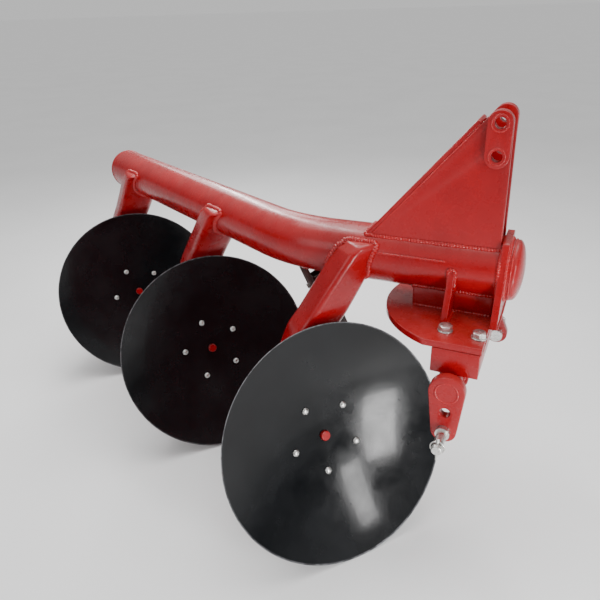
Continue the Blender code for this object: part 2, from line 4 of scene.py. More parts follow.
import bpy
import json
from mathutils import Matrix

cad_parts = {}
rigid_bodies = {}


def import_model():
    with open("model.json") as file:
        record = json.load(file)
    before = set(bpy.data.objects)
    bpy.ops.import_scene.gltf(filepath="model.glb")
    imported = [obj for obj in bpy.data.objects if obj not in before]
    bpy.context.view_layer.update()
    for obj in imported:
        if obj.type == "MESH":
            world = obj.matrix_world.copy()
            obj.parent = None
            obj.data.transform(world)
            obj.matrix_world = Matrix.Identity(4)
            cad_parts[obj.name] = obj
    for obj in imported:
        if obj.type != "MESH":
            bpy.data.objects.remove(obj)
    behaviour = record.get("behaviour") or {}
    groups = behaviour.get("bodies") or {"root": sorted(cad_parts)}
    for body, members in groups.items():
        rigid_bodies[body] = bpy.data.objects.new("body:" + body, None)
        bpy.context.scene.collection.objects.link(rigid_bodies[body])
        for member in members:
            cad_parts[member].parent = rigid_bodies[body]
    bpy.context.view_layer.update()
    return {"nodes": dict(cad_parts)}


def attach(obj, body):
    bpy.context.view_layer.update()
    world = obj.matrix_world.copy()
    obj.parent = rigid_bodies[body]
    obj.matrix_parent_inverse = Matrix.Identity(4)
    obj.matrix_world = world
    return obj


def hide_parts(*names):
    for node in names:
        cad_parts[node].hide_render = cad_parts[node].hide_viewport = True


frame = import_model()
import json
import math
import random
import bpy
import bmesh
from mathutils import Matrix, Vector, noise

# ------------------------------------------------------------------ sizes
ORIGIN_X, ORIGIN_Y = 0.0453, 0.8659      # design point that becomes x = y = 0

GAP = 0.0003                             # clearance between touching pieces

BEAM_R = 0.0762                          # 152.4 mm pipe
BEAM_WALL = 0.008
BEAM_Z = 0.7666
BEAM_FRONT_Y = 0.006
BEND_Y = 0.597                           # where the two straights would meet
BEND_DEG = 27.78
BEND_RADIUS = 0.48
BEAM_REAR = 1.180                        # bend corner to rear end
CAP_RIM, CAP_DOME = 0.006, 0.022

DISC_R = 0.330                           # 660 mm discs
DISC_T = 0.006
DISC_SPHERE_R = 0.650
DISC_GRIND = 0.009                       # width of the ground edge
DISC_PITCH = 0.6297
DISC_1 = (-0.2647, 0.3647)               # first disc's rim centre
DISC_TILT_DEG = 21.03
DISC_AIM_DEG = 39.59                     # axle's angle to the direction of travel
BOLT_CIRCLE_R = 0.100
BOLT_TURN_DEG = {"front": 46.5, "middle": 30.0, "rear": 40.0}   # how far each disc has turned
DISC_BOLTS = 5

HOUSING_R, HOUSING_BORE_R = 0.055, 0.0265
HOUSING_FROM, HOUSING_TO = 0.128, 0.325     # behind the rim plane
SPINDLE_R, SPINDLE_TO = 0.025, 0.315
FLANGE_R, FLANGE_BACK = 0.125, 0.118
ARM_WALL = 0.010

MAST_HALF = 0.045                        # to the side plates' outer faces
MAST_T = 0.012
EAR_Y, EAR_Z_LOW, EAR_Z_TOP, EAR_R = 0.071, 1.054, 1.127, 0.0275
EAR_T = 0.016
TOP_PIN_R = 0.0128
COVER_T = 0.012

TURN_Z = 0.652                           # top face of the half-round plate
TURN_T = 0.017
TURN_R = 0.238
TURN_CY = 0.078
TURN_FRONT_Y = 0.034
TURN_SIDE_X = 0.219
TURN_BOLTS = ((-0.160, 0.131), (-0.166, 0.050), (0.160, 0.131), (0.166, 0.050))

FRONT_PLATE_Y = (0.0165, 0.0337)
FRONT_PLATE_TOP = (0.056, 0.852)
FRONT_PLATE_LOW = 0.118
GUSSET_Y = (0.134, 0.150)
GUSSET_OUT = 0.128

BOX_X = 0.222
BOX_Y = (0.036, 0.149)
BOX_Z = (0.570, 0.6347)
BOX_WALL = 0.007

SHAFT_Y, SHAFT_Z, SHAFT_R = 0.0973, 0.5435, 0.026
LUG_X = 0.265                            # outer face
LUG_T = 0.025
LUG_BIG_R, LUG_SMALL_R = 0.043, 0.031
LUG_MID, LUG_END = 0.056, 0.110          # hole distances from the shaft
LUG_TURN_DEG = {"right": 0.5, "left": 31.0}
PIN_R = 0.0127

LEG_PIVOT = (0.055, 0.552, 0.630)
LEG_FOOT = (0.250, 0.375, 0.0)
LEG_FOLD_DEG = 42.0                      # the folded leg's bearing, from +Y towards +X
LEG_SIZE = 0.042
FOOT_R, FOOT_T = 0.070, 0.008

# ----------------------------------------------------------------- set-up
FINE = 3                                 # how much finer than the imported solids
PARTS = bpy.data.collections.new("plough_looks")
CUTTERS = bpy.data.collections.new("looks_cutters")
bpy.context.scene.collection.children.link(PARTS)
bpy.context.scene.collection.children.link(CUTTERS)
FRAME = bpy.data.objects.new("design_frame", None)
FRAME.location = (-ORIGIN_X, -ORIGIN_Y, 0.0)
PARTS.objects.link(FRAME)
LOOK = {}


def add(name, mesh, look, parent=FRAME, at=None, smooth=True, soften=0.0):
    ob = bpy.data.objects.new("look_" + name, mesh)
    PARTS.objects.link(ob)
    ob.parent = parent
    if at is not None:
        ob.matrix_local = at
    LOOK[name] = (ob, look)
    if soften:
        m = ob.modifiers.new("soften", "BEVEL")
        m.width, m.segments, m.limit_method = soften, 3, "ANGLE"
        m.angle_limit = math.radians(40)
    return ob


def cutter(name, mesh, parent=FRAME, at=None):
    ob = bpy.data.objects.new(name, mesh)
    CUTTERS.objects.link(ob)
    ob.parent = parent
    if at is not None:
        ob.matrix_local = at
    ob.hide_render = True
    ob.display_type = "WIRE"
    return ob


def cut(ob, tool, mode="DIFFERENCE"):
    m = ob.modifiers.new(mode.lower(), "BOOLEAN")
    m.operation = mode
    m.object = tool
    m.solver = "EXACT"
    return ob


# ------------------------------------------------------------ basic shapes
def box_mesh(sx, sy, sz, centre=(0, 0, 0)):
    bm = bmesh.new()
    bmesh.ops.create_cube(bm, size=1.0)
    bmesh.ops.scale(bm, vec=(sx, sy, sz), verts=bm.verts)
    bmesh.ops.translate(bm, vec=centre, verts=bm.verts)
    me = bpy.data.meshes.new("box")
    bm.to_mesh(me)
    bm.free()
    return me


def rod_mesh(radius, z0, z1, sides=24, r_end=None):
    """A round bar along local Z."""
    bm = bmesh.new()
    bmesh.ops.create_cone(bm, cap_ends=True, segments=sides * FINE if sides > 6 else sides, radius1=radius,
                          radius2=radius if r_end is None else r_end, depth=z1 - z0)
    bmesh.ops.translate(bm, vec=(0, 0, (z0 + z1) / 2), verts=bm.verts)
    me = bpy.data.meshes.new("rod")
    bm.to_mesh(me)
    bm.free()
    return me


def turned_mesh(profile, steps=32):
    """Profile of (radius, height) pairs from the top down, turned about Z."""
    bm = bmesh.new()
    vs = [bm.verts.new((r, 0.0, z)) for r, z in profile]
    for a, b in zip(vs, vs[1:]):
        bm.edges.new((a, b))
    me = bpy.data.meshes.new("profile")
    bm.to_mesh(me)
    bm.free()
    ob = bpy.data.objects.new("profile", me)
    CUTTERS.objects.link(ob)
    s = ob.modifiers.new("turn", "SCREW")
    s.axis = "Z"
    s.angle = math.tau
    s.steps = s.render_steps = steps * FINE
    s.use_merge_vertices = True
    s.merge_threshold = 0.00001
    return baked(ob)


def baked(ob, weld=0.00001):
    """The object's evaluated mesh, welded; the object itself goes."""
    bpy.context.view_layer.update()
    deps = bpy.context.evaluated_depsgraph_get()
    me = bpy.data.meshes.new_from_object(ob.evaluated_get(deps))
    bm = bmesh.new()
    bm.from_mesh(me)
    bmesh.ops.remove_doubles(bm, verts=bm.verts, dist=weld)
    bmesh.ops.recalc_face_normals(bm, faces=bm.faces)
    bm.to_mesh(me)
    bm.free()
    bpy.data.objects.remove(ob, do_unlink=True)
    return me


def plate_mesh(outline, thickness, holes=(), hole_sides=20, edge=0.0014):
    """A flat plate: its outline in local XY, holes as (x, y, radius)."""
    cu = bpy.data.curves.new("plate", "CURVE")
    cu.dimensions = "2D"
    cu.fill_mode = "BOTH"
    cu.extrude = thickness / 2 - edge
    cu.bevel_depth = edge
    cu.bevel_resolution = 2
    cu.offset = -edge
    hole_sides *= 2
    loops = [list(outline)]
    for hx, hy, hr in holes:
        loops.append([(hx + hr * math.cos(-math.tau * k / hole_sides),
                       hy + hr * math.sin(-math.tau * k / hole_sides)) for k in range(hole_sides)])
    for loop in loops:
        sp = cu.splines.new("POLY")
        sp.points.add(len(loop) - 1)
        for p, (x, y) in zip(sp.points, loop):
            p.co = (x, y, 0.0, 1.0)
        sp.use_cyclic_u = True
    ob = bpy.data.objects.new("plate", cu)
    CUTTERS.objects.link(ob)
    return baked(ob)


def arc(cx, cy, r, a0, a1, n):
    """Points along an arc, angles in degrees."""
    n *= FINE
    return [(cx + r * math.cos(math.radians(a0 + (a1 - a0) * k / n)),
             cy + r * math.sin(math.radians(a0 + (a1 - a0) * k / n))) for k in range(n + 1)]


def rounded(points, radius, n=4):
    """A closed outline with its corners rounded."""
    n *= 2
    out = []
    m = len(points)
    for i in range(m):
        p = Vector(points[i])
        a = (Vector(points[i - 1]) - p).normalized()
        b = (Vector(points[(i + 1) % m]) - p).normalized()
        half = a.angle(b) / 2
        r = radius[i] if isinstance(radius, (list, tuple)) else radius
        if r <= 0:
            out.append(tuple(p))
            continue
        t = r / math.tan(half)
        c = p + (a + b).normalized() * (r / math.sin(half))
        u, v = p + a * t - c, p + b * t - c
        turn = math.atan2(u.x * v.y - u.y * v.x, u.dot(v))
        for k in range(n + 1):
            w = Matrix.Rotation(turn * k / n, 2) @ u
            out.append(tuple(c + w))
    return out


def axes(origin, x, y, z):
    """A placement matrix from an origin and three axes."""
    return Matrix(((x[0], y[0], z[0], origin[0]),
                   (x[1], y[1], z[1], origin[1]),
                   (x[2], y[2], z[2], origin[2]),
                   (0, 0, 0, 1)))


def along(origin, direction, up=(0, 0, 1)):
    """Local Z along a direction."""
    z = Vector(direction).normalized()
    x = Vector(up).cross(z)
    if x.length < 1e-5:
        x = Vector((1, 0, 0))
    x.normalize()
    return axes(origin, x, z.cross(x), z)


def side_plane(x):
    """Local XY is the machine's YZ, local Z is +X."""
    return axes((x, 0, 0), (0, 1, 0), (0, 0, 1), (1, 0, 0))


def cross_plane(y):
    """Local XY is the machine's XZ, local Z is -Y."""
    return axes((0, y, 0), (1, 0, 0), (0, 0, 1), (0, -1, 0))


def joined(ob, others):
    """A Boolean union of meshes given as (mesh, placement)."""
    for i, (me, at) in enumerate(others):
        tool = cutter("%s_add_%d" % (ob.name, i + 1), me, ob.parent, at)
        cut(ob, tool, "UNION")
    return ob


# -------------------------------------------------------------- beam path
BEND = math.radians(BEND_DEG)
BACK = Vector((math.sin(BEND), math.cos(BEND), 0.0))       # along the rear straight
OUT = Vector((math.cos(BEND), -math.sin(BEND), 0.0))       # square to it, to the left
TANGENT = BEND_RADIUS * math.tan(BEND / 2)


def beam_points(front=BEAM_FRONT_Y, rear=BEAM_REAR, steps=40):
    pts = [Vector((0, front, BEAM_Z))]
    for k in range(steps + 1):
        a = BEND * k / steps
        pts.append(Vector((BEND_RADIUS * (1 - math.cos(a)),
                           BEND_Y - TANGENT + BEND_RADIUS * math.sin(a), BEAM_Z)))
    pts.append(Vector((0, BEND_Y, BEAM_Z)) + BACK * rear)
    return pts


def pipe_mesh(points, radius, sides_level, caps):
    cu = bpy.data.curves.new("pipe", "CURVE")
    cu.dimensions = "3D"
    cu.bevel_depth = radius
    cu.bevel_resolution = sides_level
    cu.use_fill_caps = caps
    sp = cu.splines.new("POLY")
    sp.points.add(len(points) - 1)
    for p, q in zip(sp.points, points):
        p.co = (q[0], q[1], q[2], 1.0)
    ob = bpy.data.objects.new("pipe", cu)
    CUTTERS.objects.link(ob)
    return baked(ob)


BEAM_SIDES = 32
# a curve's faceted section is drawn on its corners, so these are corner radii
beam = add("main_beam", pipe_mesh(beam_points(), BEAM_R, BEAM_SIDES, False), "red")
shell = beam.modifiers.new("wall", "SOLIDIFY")
shell.thickness = BEAM_WALL
shell.offset = -1.0
shell.use_even_offset = True

beam_cutter = cutter("beam_space", pipe_mesh(beam_points(BEAM_FRONT_Y - 0.05, BEAM_REAR + 0.05),
                                             BEAM_R + GAP, BEAM_SIDES, True))


def end_cap(name, centre, direction):
    prof = [(0.0, CAP_RIM + CAP_DOME)]
    for k in range(1, 16):
        a = math.pi / 2 * k / 16
        prof.append((BEAM_R * math.sin(a), CAP_RIM + CAP_DOME * math.cos(a)))
    prof += [(BEAM_R, CAP_RIM), (BEAM_R, GAP), (0.0, GAP)]
    return add(name, turned_mesh(prof, 24), "red", at=along(centre, direction))


end_cap("beam_cap_front", (0, BEAM_FRONT_Y, BEAM_Z), (0, -1, 0))
end_cap("beam_cap_rear", Vector((0, BEND_Y, BEAM_Z)) + BACK * BEAM_REAR, BACK)

# ------------------------------------------------------------------- mast
SLANT = Vector((-0.651, 0.759)).normalized()               # up the mast's back edge, in (y, z)
SLANT_N = Vector((SLANT.y, -SLANT.x))
ear = Vector((EAR_Y, EAR_Z_TOP))
edge_top = ear + SLANT_N * EAR_R
drop = (edge_top.y - 0.815) / SLANT.y
edge_low = edge_top - SLANT * drop
slant_deg = math.degrees(math.atan2(SLANT_N.y, SLANT_N.x))
mast_outline = ([(0.0362, 0.815), tuple(edge_low)]
                + arc(EAR_Y, EAR_Z_TOP, EAR_R, slant_deg, 180.0, 7))
top_holes = ((EAR_Y, EAR_Z_LOW, TOP_PIN_R), (EAR_Y, EAR_Z_TOP, TOP_PIN_R))
for side, sx in (("right", -1), ("left", 1)):
    x = sx * (MAST_HALF - MAST_T / 2)
    p = add("mast_plate_" + side, plate_mesh(mast_outline, MAST_T, top_holes), "red",
            at=side_plane(x))
    cut(p, beam_cutter)
    ear_outline = (arc(EAR_Y, EAR_Z_TOP, EAR_R, 0, 180, 8)
                   + arc(EAR_Y, EAR_Z_LOW, EAR_R, 180, 360, 8))
    add("top_link_ear_" + side, plate_mesh(ear_outline, EAR_T, top_holes), "red",
        at=side_plane(sx * (MAST_HALF + GAP + EAR_T / 2)))

cover_len = drop + 0.012
cover_mid = edge_top - SLANT * (cover_len / 2 - 0.0) + SLANT_N * (COVER_T / 2 + GAP) - SLANT * 0.030
cover = add("mast_cover", box_mesh(2 * MAST_HALF, COVER_T, cover_len), "red",
            at=axes((0, cover_mid.x, cover_mid.y), (1, 0, 0),
                    (0, SLANT_N.x, SLANT_N.y), (0, SLANT.x, SLANT.y)))
b = cover.modifiers.new("edges", "BEVEL")
b.width = 0.004
b.segments = 4
b.limit_method = "ANGLE"
cut(cover, beam_cutter)

# ----------------------------------------------- headstock below the beam
fy = (FRONT_PLATE_Y[0] + FRONT_PLATE_Y[1]) / 2
fx, fz = FRONT_PLATE_TOP
front_outline = [(-fx, fz), (-FRONT_PLATE_LOW, TURN_Z + GAP), (FRONT_PLATE_LOW, TURN_Z + GAP), (fx, fz)]
front = add("headstock_front_plate", plate_mesh(rounded(front_outline, (0.008, 0, 0, 0.008), 2),
            FRONT_PLATE_Y[1] - FRONT_PLATE_Y[0]), "red", at=cross_plane(fy))
cut(front, beam_cutter)

gy = (GUSSET_Y[0] + GUSSET_Y[1]) / 2
for side, sx in (("right", -1), ("left", 1)):
    g = [(sx * 0.052, TURN_Z + GAP), (sx * GUSSET_OUT, TURN_Z + GAP),
         (sx * GUSSET_OUT, TURN_Z + 0.012), (sx * 0.0640, 0.8000), (sx * 0.052, 0.8000)]
    if sx > 0:
        g.reverse()
    p = add("headstock_gusset_" + side, plate_mesh(g, GUSSET_Y[1] - GUSSET_Y[0]), "red",
            at=cross_plane(gy))
    cut(p, beam_cutter)

saddle = add("beam_saddle", box_mesh(0.100, 0.205, 0.060, (0, 0.1395, TURN_Z + GAP + 0.030)), "red", soften=0.005)
cut(saddle, beam_cutter)
a_side = math.degrees(math.acos(TURN_SIDE_X / TURN_R))
turn_outline = ([(TURN_SIDE_X, TURN_FRONT_Y)]
                + arc(0, TURN_CY, TURN_R, a_side, 180 - a_side, 22)
                + [(-TURN_SIDE_X, TURN_FRONT_Y)])
add("turn_plate", plate_mesh(turn_outline, TURN_T, [(x, y, 0.0112) for x, y in TURN_BOLTS], 12), "red",
    at=Matrix.Translation((0, 0, TURN_Z - TURN_T / 2)))

# cross-shaft carrier: a box beam under the turn plate, open at its ends,
# each end closed by its own plate
by, bz = (BOX_Y[0] + BOX_Y[1]) / 2, (BOX_Z[0] + BOX_Z[1]) / 2
bw, bh = BOX_Y[1] - BOX_Y[0], BOX_Z[1] - BOX_Z[0]
carrier = add("shaft_carrier", box_mesh(2 * (BOX_X - 0.008) - 2 * GAP, bw, bh, (0, by, bz)), "red", soften=0.006)
cut(carrier, cutter("carrier_inside", box_mesh(0.6, bw - 2 * BOX_WALL, bh - 2 * BOX_WALL, (0, by, bz))))
for i, (x, y) in enumerate(TURN_BOLTS):
    cut(carrier, cutter("carrier_hole_%d" % (i + 1), rod_mesh(0.0112, bz, BOX_Z[1] + 0.02, 12),
                        at=Matrix.Translation((x, y, 0))))
for side, sx in (("right", -1), ("left", 1)):
    add("carrier_end_" + side, box_mesh(0.008, bw, bh, (sx * (BOX_X - 0.004), by, bz)), "red", soften=0.002)


def merged(pieces):
    """Several closed meshes in one, each given as (mesh, placement)."""
    bm = bmesh.new()
    for me, at in pieces:
        one = me.copy()
        if at is not None:
            one.transform(at)
        bm.from_mesh(one)
        bpy.data.meshes.remove(one)
    out = bpy.data.meshes.new("merged")
    bm.to_mesh(out)
    bm.free()
    return out


shaft_space = cutter("shaft_space", rod_mesh(SHAFT_R + 0.0006, -0.4, 0.4, 24),
                     at=along((0, SHAFT_Y, SHAFT_Z), (1, 0, 0)))
for side, sx in (("right", -1), ("left", 1)):
    # block under the carrier that holds the cross shaft
    low, top = SHAFT_Z - 0.036, BOX_Z[0] - GAP
    y0, y1 = SHAFT_Y - 0.0355, SHAFT_Y + 0.0355
    o = rounded([(y0, low), (y1, low), (y1, top), (y0, top)], (0.024, 0.024, 0, 0), 4)
    clamp = add("shaft_clamp_" + side, plate_mesh(o, 0.050), "red", at=side_plane(sx * 0.150))
    cut(clamp, shaft_space)

# ------------------------------------------------------- cross shaft, lugs
add("cross_shaft", rod_mesh(SHAFT_R, -LUG_X, LUG_X, 24), "red",
    at=along((0, SHAFT_Y, SHAFT_Z), (1, 0, 0)))
for side, sx in (("right", -1), ("left", 1)):
    turn = math.radians(LUG_TURN_DEG[side])
    # down the lug, in (y, z): turned forward from straight down
    d = Vector((-math.sin(turn), -math.cos(turn)))
    end = Vector((SHAFT_Y, SHAFT_Z)) + d * LUG_END
    mid = Vector((SHAFT_Y, SHAFT_Z)) + d * LUG_MID
    base = math.degrees(math.atan2(d.y, d.x))
    lean = math.degrees(math.asin((LUG_BIG_R - LUG_SMALL_R) / LUG_END))
    o = (arc(SHAFT_Y, SHAFT_Z, LUG_BIG_R, base + 90 - lean, base + 270 + lean, 14)
         + arc(end.x, end.y, LUG_SMALL_R, base - 90 + lean, base + 90 - lean, 10))
    add("lower_link_lug_" + side,
        plate_mesh(o, LUG_T, [(SHAFT_Y, SHAFT_Z, SHAFT_R + 0.0006), (mid.x, mid.y, 0.013),
                              (end.x, end.y, PIN_R + 0.0006)], 24), "red",
        at=side_plane(sx * (LUG_X - LUG_T / 2)))
    # lower-link pin: collar outside the lug, nut inside it
    prof = [(0.0, 0.078), (PIN_R - 0.002, 0.078), (PIN_R, 0.076), (PIN_R, 0.014), (0.0175, 0.014),
            (0.0175, GAP), (PIN_R, GAP), (PIN_R, -LUG_T - GAP), (0.0190, -LUG_T - GAP),
            (0.0190, -LUG_T - 0.018), (0.0, -LUG_T - 0.018)]
    pin = add("lower_link_pin_" + side, turned_mesh(prof, 20), "zinc",
              at=along((sx * LUG_X, end.x, end.y), (sx, 0, 0)))
    lin_x = sx * (LUG_X + 0.063)
    cut(pin, cutter("linchpin_hole_" + side, rod_mesh(0.0050, -0.03, 0.03, 10),
                    at=along((lin_x, end.x, end.y), (0, -d.x, -d.y))))
    # linchpin: a spike through the pin, and its ring round the pin
    ring = [(0.0165 + 0.0020 * math.cos(math.tau * k / 16), -0.0020 * math.sin(math.tau * k / 16))
            for k in range(16)]
    lp = add("linchpin_" + side, rod_mesh(0.0040, -0.036, 0.0265, 10), "zinc",
             at=along((lin_x, end.x, end.y), (0, -d.x, -d.y)))
    tool = cutter("linchpin_ring_" + side, turned_mesh(ring + [ring[0]], 16),
                  at=along((lin_x, end.x, end.y), (sx, 0, 0)))
    cut(lp, tool, "UNION")

# bolts through the turn plate: washer, hexagon head with its chamfer, bolt below
def hex_mesh(r_out, z0, z1):
    bm = bmesh.new()
    bmesh.ops.create_cone(bm, cap_ends=True, segments=6, radius1=r_out, radius2=r_out, depth=z1 - z0)
    bmesh.ops.translate(bm, vec=(0, 0, (z0 + z1) / 2), verts=bm.verts)
    me = bpy.data.meshes.new("hex")
    bm.to_mesh(me)
    bm.free()
    return me


for i, (x, y) in enumerate(TURN_BOLTS):
    spin = Matrix.Translation((x, y, TURN_Z)) @ Matrix.Rotation(math.radians(17 + 23 * i), 4, "Z")
    head = add("turn_bolt_%d" % (i + 1), hex_mesh(0.0170, 0.0033, 0.0160), "zinc", at=spin)
    chamfer = [(0.0, 0.0160), (0.0134, 0.0160), (0.0172, 0.0140), (0.0172, 0.0045), (0.0152, 0.0033), (0.0, 0.0033)]
    cut(head, cutter("turn_chamfer_%d" % (i + 1), turned_mesh(chamfer, 16), at=spin), "INTERSECT")
    washer = [(0.0092, 0.0031), (0.0180, 0.0031), (0.0186, 0.0025), (0.0186, GAP), (0.0092, GAP)]
    add("turn_washer_%d" % (i + 1), turned_mesh(washer + [washer[0]], 16), "zinc", at=spin)

# ------------------------------------------------------------- disc units
TILT = math.radians(DISC_TILT_DEG)
AIM = math.radians(DISC_AIM_DEG)
ES = Vector((math.sin(AIM), math.cos(AIM), 0.0))           # back along the axle, level
AXLE = ES * -math.cos(TILT) + Vector((0, 0, math.sin(TILT)))   # out of the hollow side
RIM_Z = DISC_R * math.cos(TILT)
SPHERE_Z = math.sqrt(DISC_SPHERE_R ** 2 - DISC_R ** 2)     # sphere's centre above the rim plane

# arm sections from the top down:
# (height, back along the axle, to the left, depth, breadth)
LOWER = [(0.500, 0.214, 0.010, 0.106, 0.130), (0.420, 0.235, 0.0, 0.124, 0.130),
         (0.320, 0.238, 0.0, 0.130, 0.130), (0.215, 0.238, 0.0, 0.130, 0.130)]
ARM_SECTIONS = {
    "front": [(0.815, 0.150, 0.158, 0.090, 0.100), (0.770, 0.156, 0.131, 0.090, 0.106),
              (0.690, 0.172, 0.089, 0.090, 0.118), (0.620, 0.188, 0.054, 0.090, 0.126),
              (0.575, 0.198, 0.028, 0.092, 0.130)] + LOWER,
    "middle": [(0.800, 0.050, 0.085, 0.090, 0.138), (0.740, 0.096, 0.073, 0.090, 0.138),
               (0.680, 0.146, 0.062, 0.090, 0.138), (0.625, 0.183, 0.048, 0.092, 0.136),
               (0.575, 0.198, 0.028, 0.094, 0.134)] + LOWER,
}
ARM_SECTIONS["rear"] = ARM_SECTIONS["middle"]


def eased(sections, per=7):
    """The sections with smooth ones between them."""
    out = []
    for i in range(len(sections) - 1):
        p0, p1 = sections[max(i - 1, 0)], sections[i]
        p2, p3 = sections[i + 1], sections[min(i + 2, len(sections) - 1)]
        for k in range(per):
            t = k / per
            row = []
            for a_, b_, c_, d_ in zip(p0, p1, p2, p3):
                soft_ = 0.5 * (2 * b_ + (c_ - a_) * t + (2 * a_ - 5 * b_ + 4 * c_ - d_) * t * t
                               + (3 * b_ - a_ - 3 * c_ + d_) * t ** 3)
                row.append(0.6 * soft_ + 0.4 * (b_ + (c_ - b_) * t))
            out.append(tuple(row))
    return out + [sections[-1]]


def loft_mesh(sections, corner=0.021, lip=0.016):
    """Level sections with round corners, the top and the foot rounded over."""
    rows = [(s_, corner, 0.0) for s_ in eased(sections)]
    top, low = rows[0][0], rows[-1][0]
    ends_top, ends_low = [], []
    for k in range(1, 5):
        q = math.pi / 2 * k / 4
        inset = lip * (1 - math.cos(q))
        ends_top.append(((top[0] - lip + lip * math.sin(q),) + top[1:], corner, inset))
        ends_low.append(((low[0] + lip - lip * math.sin(q),) + low[1:], corner, inset))
    rows = ends_top[::-1] + [w for w in rows if low[0] + lip < w[0][0] < top[0] - lip] + ends_low
    bm = bmesh.new()
    rings = []
    for (z, back, left, depth, breadth), c_r, inset in rows:
        h, w = depth / 2 - inset, breadth / 2 - inset
        cr = max(c_r - inset * 0.4, 0.004)
        ring = []
        for sx, sy, a0 in ((1, 1, 0), (-1, 1, 90), (-1, -1, 180), (1, -1, 270)):
            for k in range(7):
                q = math.radians(a0 + 90 * k / 6)
                ring.append(bm.verts.new((back + sx * (h - cr) + cr * math.cos(q),
                                          -left + sy * (w - cr) + cr * math.sin(q), z)))
        rings.append(ring)
    n = len(rings[0])
    for a, b_ in zip(rings, rings[1:]):
        for k in range(n):
            bm.faces.new((a[k], a[(k + 1) % n], b_[(k + 1) % n], b_[k]))
    bm.faces.new(rings[0])
    bm.faces.new(rings[-1][::-1])
    bmesh.ops.recalc_face_normals(bm, faces=bm.faces)
    me = bpy.data.meshes.new("loft")
    bm.to_mesh(me)
    bm.free()
    return me


def dish(r, extra=0.0):
    """Height of the dish's surface at radius r, above the rim plane."""
    return SPHERE_Z - math.sqrt((DISC_SPHERE_R + extra) ** 2 - r * r)


def bolt_places(turn):
    out = []
    for k in range(DISC_BOLTS):
        a = math.tau * k / DISC_BOLTS + math.radians(turn)
        at = Vector((BOLT_CIRCLE_R * math.cos(a), BOLT_CIRCLE_R * math.sin(a), dish(BOLT_CIRCLE_R)))
        out.append(along(at, Vector((0, 0, SPHERE_Z)) - at))
    return out


for i, nm in enumerate(("front", "middle", "rear")):
    c = Vector((DISC_1[0], DISC_1[1], 0)) + BACK * (DISC_PITCH * i)
    ground = axes(c, ES, (-ES.y, ES.x, 0), (0, 0, 1))
    # the seat empty lies on the spin axis, its Z out of the hollow side
    seat = bpy.data.objects.new("disc_axis_" + nm, None)
    seat.parent = FRAME
    seat.matrix_local = along((c.x, c.y, RIM_Z), AXLE)
    PARTS.objects.link(seat)

    bolt_seats = bolt_places(BOLT_TURN_DEG[nm])
    arm = add("arm_" + nm, loft_mesh(ARM_SECTIONS[nm]), "red", at=ground, smooth=False)
    cut(arm, beam_cutter)
    cut(arm, cutter("housing_space_" + nm, rod_mesh(HOUSING_R + 0.0008, -HOUSING_TO - 0.05, -HOUSING_FROM + 0.03, 24),
                    seat))

    prof = [(HOUSING_R - 0.004, -HOUSING_FROM), (HOUSING_R, -HOUSING_FROM - 0.004),
            (HOUSING_R, -HOUSING_TO), (HOUSING_BORE_R, -HOUSING_TO), (HOUSING_BORE_R, -HOUSING_FROM)]
    add("bearing_housing_" + nm, turned_mesh(prof + [prof[0]], 24), "red", seat)
    prof = [(0.0, -HOUSING_TO - GAP), (0.050, -HOUSING_TO - GAP), (0.050, -HOUSING_TO - 0.008),
            (0.040, -HOUSING_TO - 0.009), (0.034, -HOUSING_TO - 0.018), (0.020, -HOUSING_TO - 0.021),
            (0.0, -HOUSING_TO - 0.022)]
    add("hub_cap_" + nm, turned_mesh(prof, 24), "red", seat)

    # blade: a 6 mm dish, hollow side forward, ground from the back to its edge,
    # with a centre hole
    n, hole_r = 28, 0.0155
    front_r = [hole_r + (DISC_R - hole_r) * k / n for k in range(n + 1)]
    back_r = [hole_r + (DISC_R - DISC_GRIND - hole_r) * k / n for k in range(n + 1)]
    prof = ([(r, dish(r)) for r in front_r] + [(r, dish(r, DISC_T)) for r in reversed(back_r)])
    blade = add("disc_" + nm, turned_mesh(prof + [prof[0]], 40), "black", seat)
    cut(blade, cutter("disc_holes_" + nm, merged([(rod_mesh(0.0074, -0.03, 0.02, 8), at)
                                                  for at in bolt_seats]), seat))

    # hub: flange on the dish's back, spindle into the housing, centre boss
    fr = [FLANGE_R * k / 3 for k in range(1, 4)]
    prof = ([(0.0, -0.080), (0.0120, -0.080), (0.0140, -0.082), (0.0140, dish(0.014, DISC_T) - 0.0010)]
            + [(r, dish(r, DISC_T) - 0.0010) for r in fr]
            + [(FLANGE_R, -FLANGE_BACK + 0.006), (FLANGE_R - 0.006, -FLANGE_BACK), (SPINDLE_R, -FLANGE_BACK),
               (SPINDLE_R, -SPINDLE_TO), (0.0, -SPINDLE_TO)])
    hub = add("hub_" + nm, turned_mesh(prof, 24), "red", seat)
    bolt = [(0.0, 0.0080), (0.0022, 0.0079), (0.0044, 0.0075), (0.0064, 0.0067), (0.0082, 0.0056),
            (0.0095, 0.0043), (0.0103, 0.0030), (0.0105, 0.0022), (0.0103, 0.0016), (0.0060, 0.0016),
            (0.0060, -0.008), (0.0, -0.008)]
    bolt_mesh = turned_mesh(bolt, 10)
    add("disc_bolts_" + nm, merged([(bolt_mesh, at) for at in bolt_seats]), "zinc", seat)

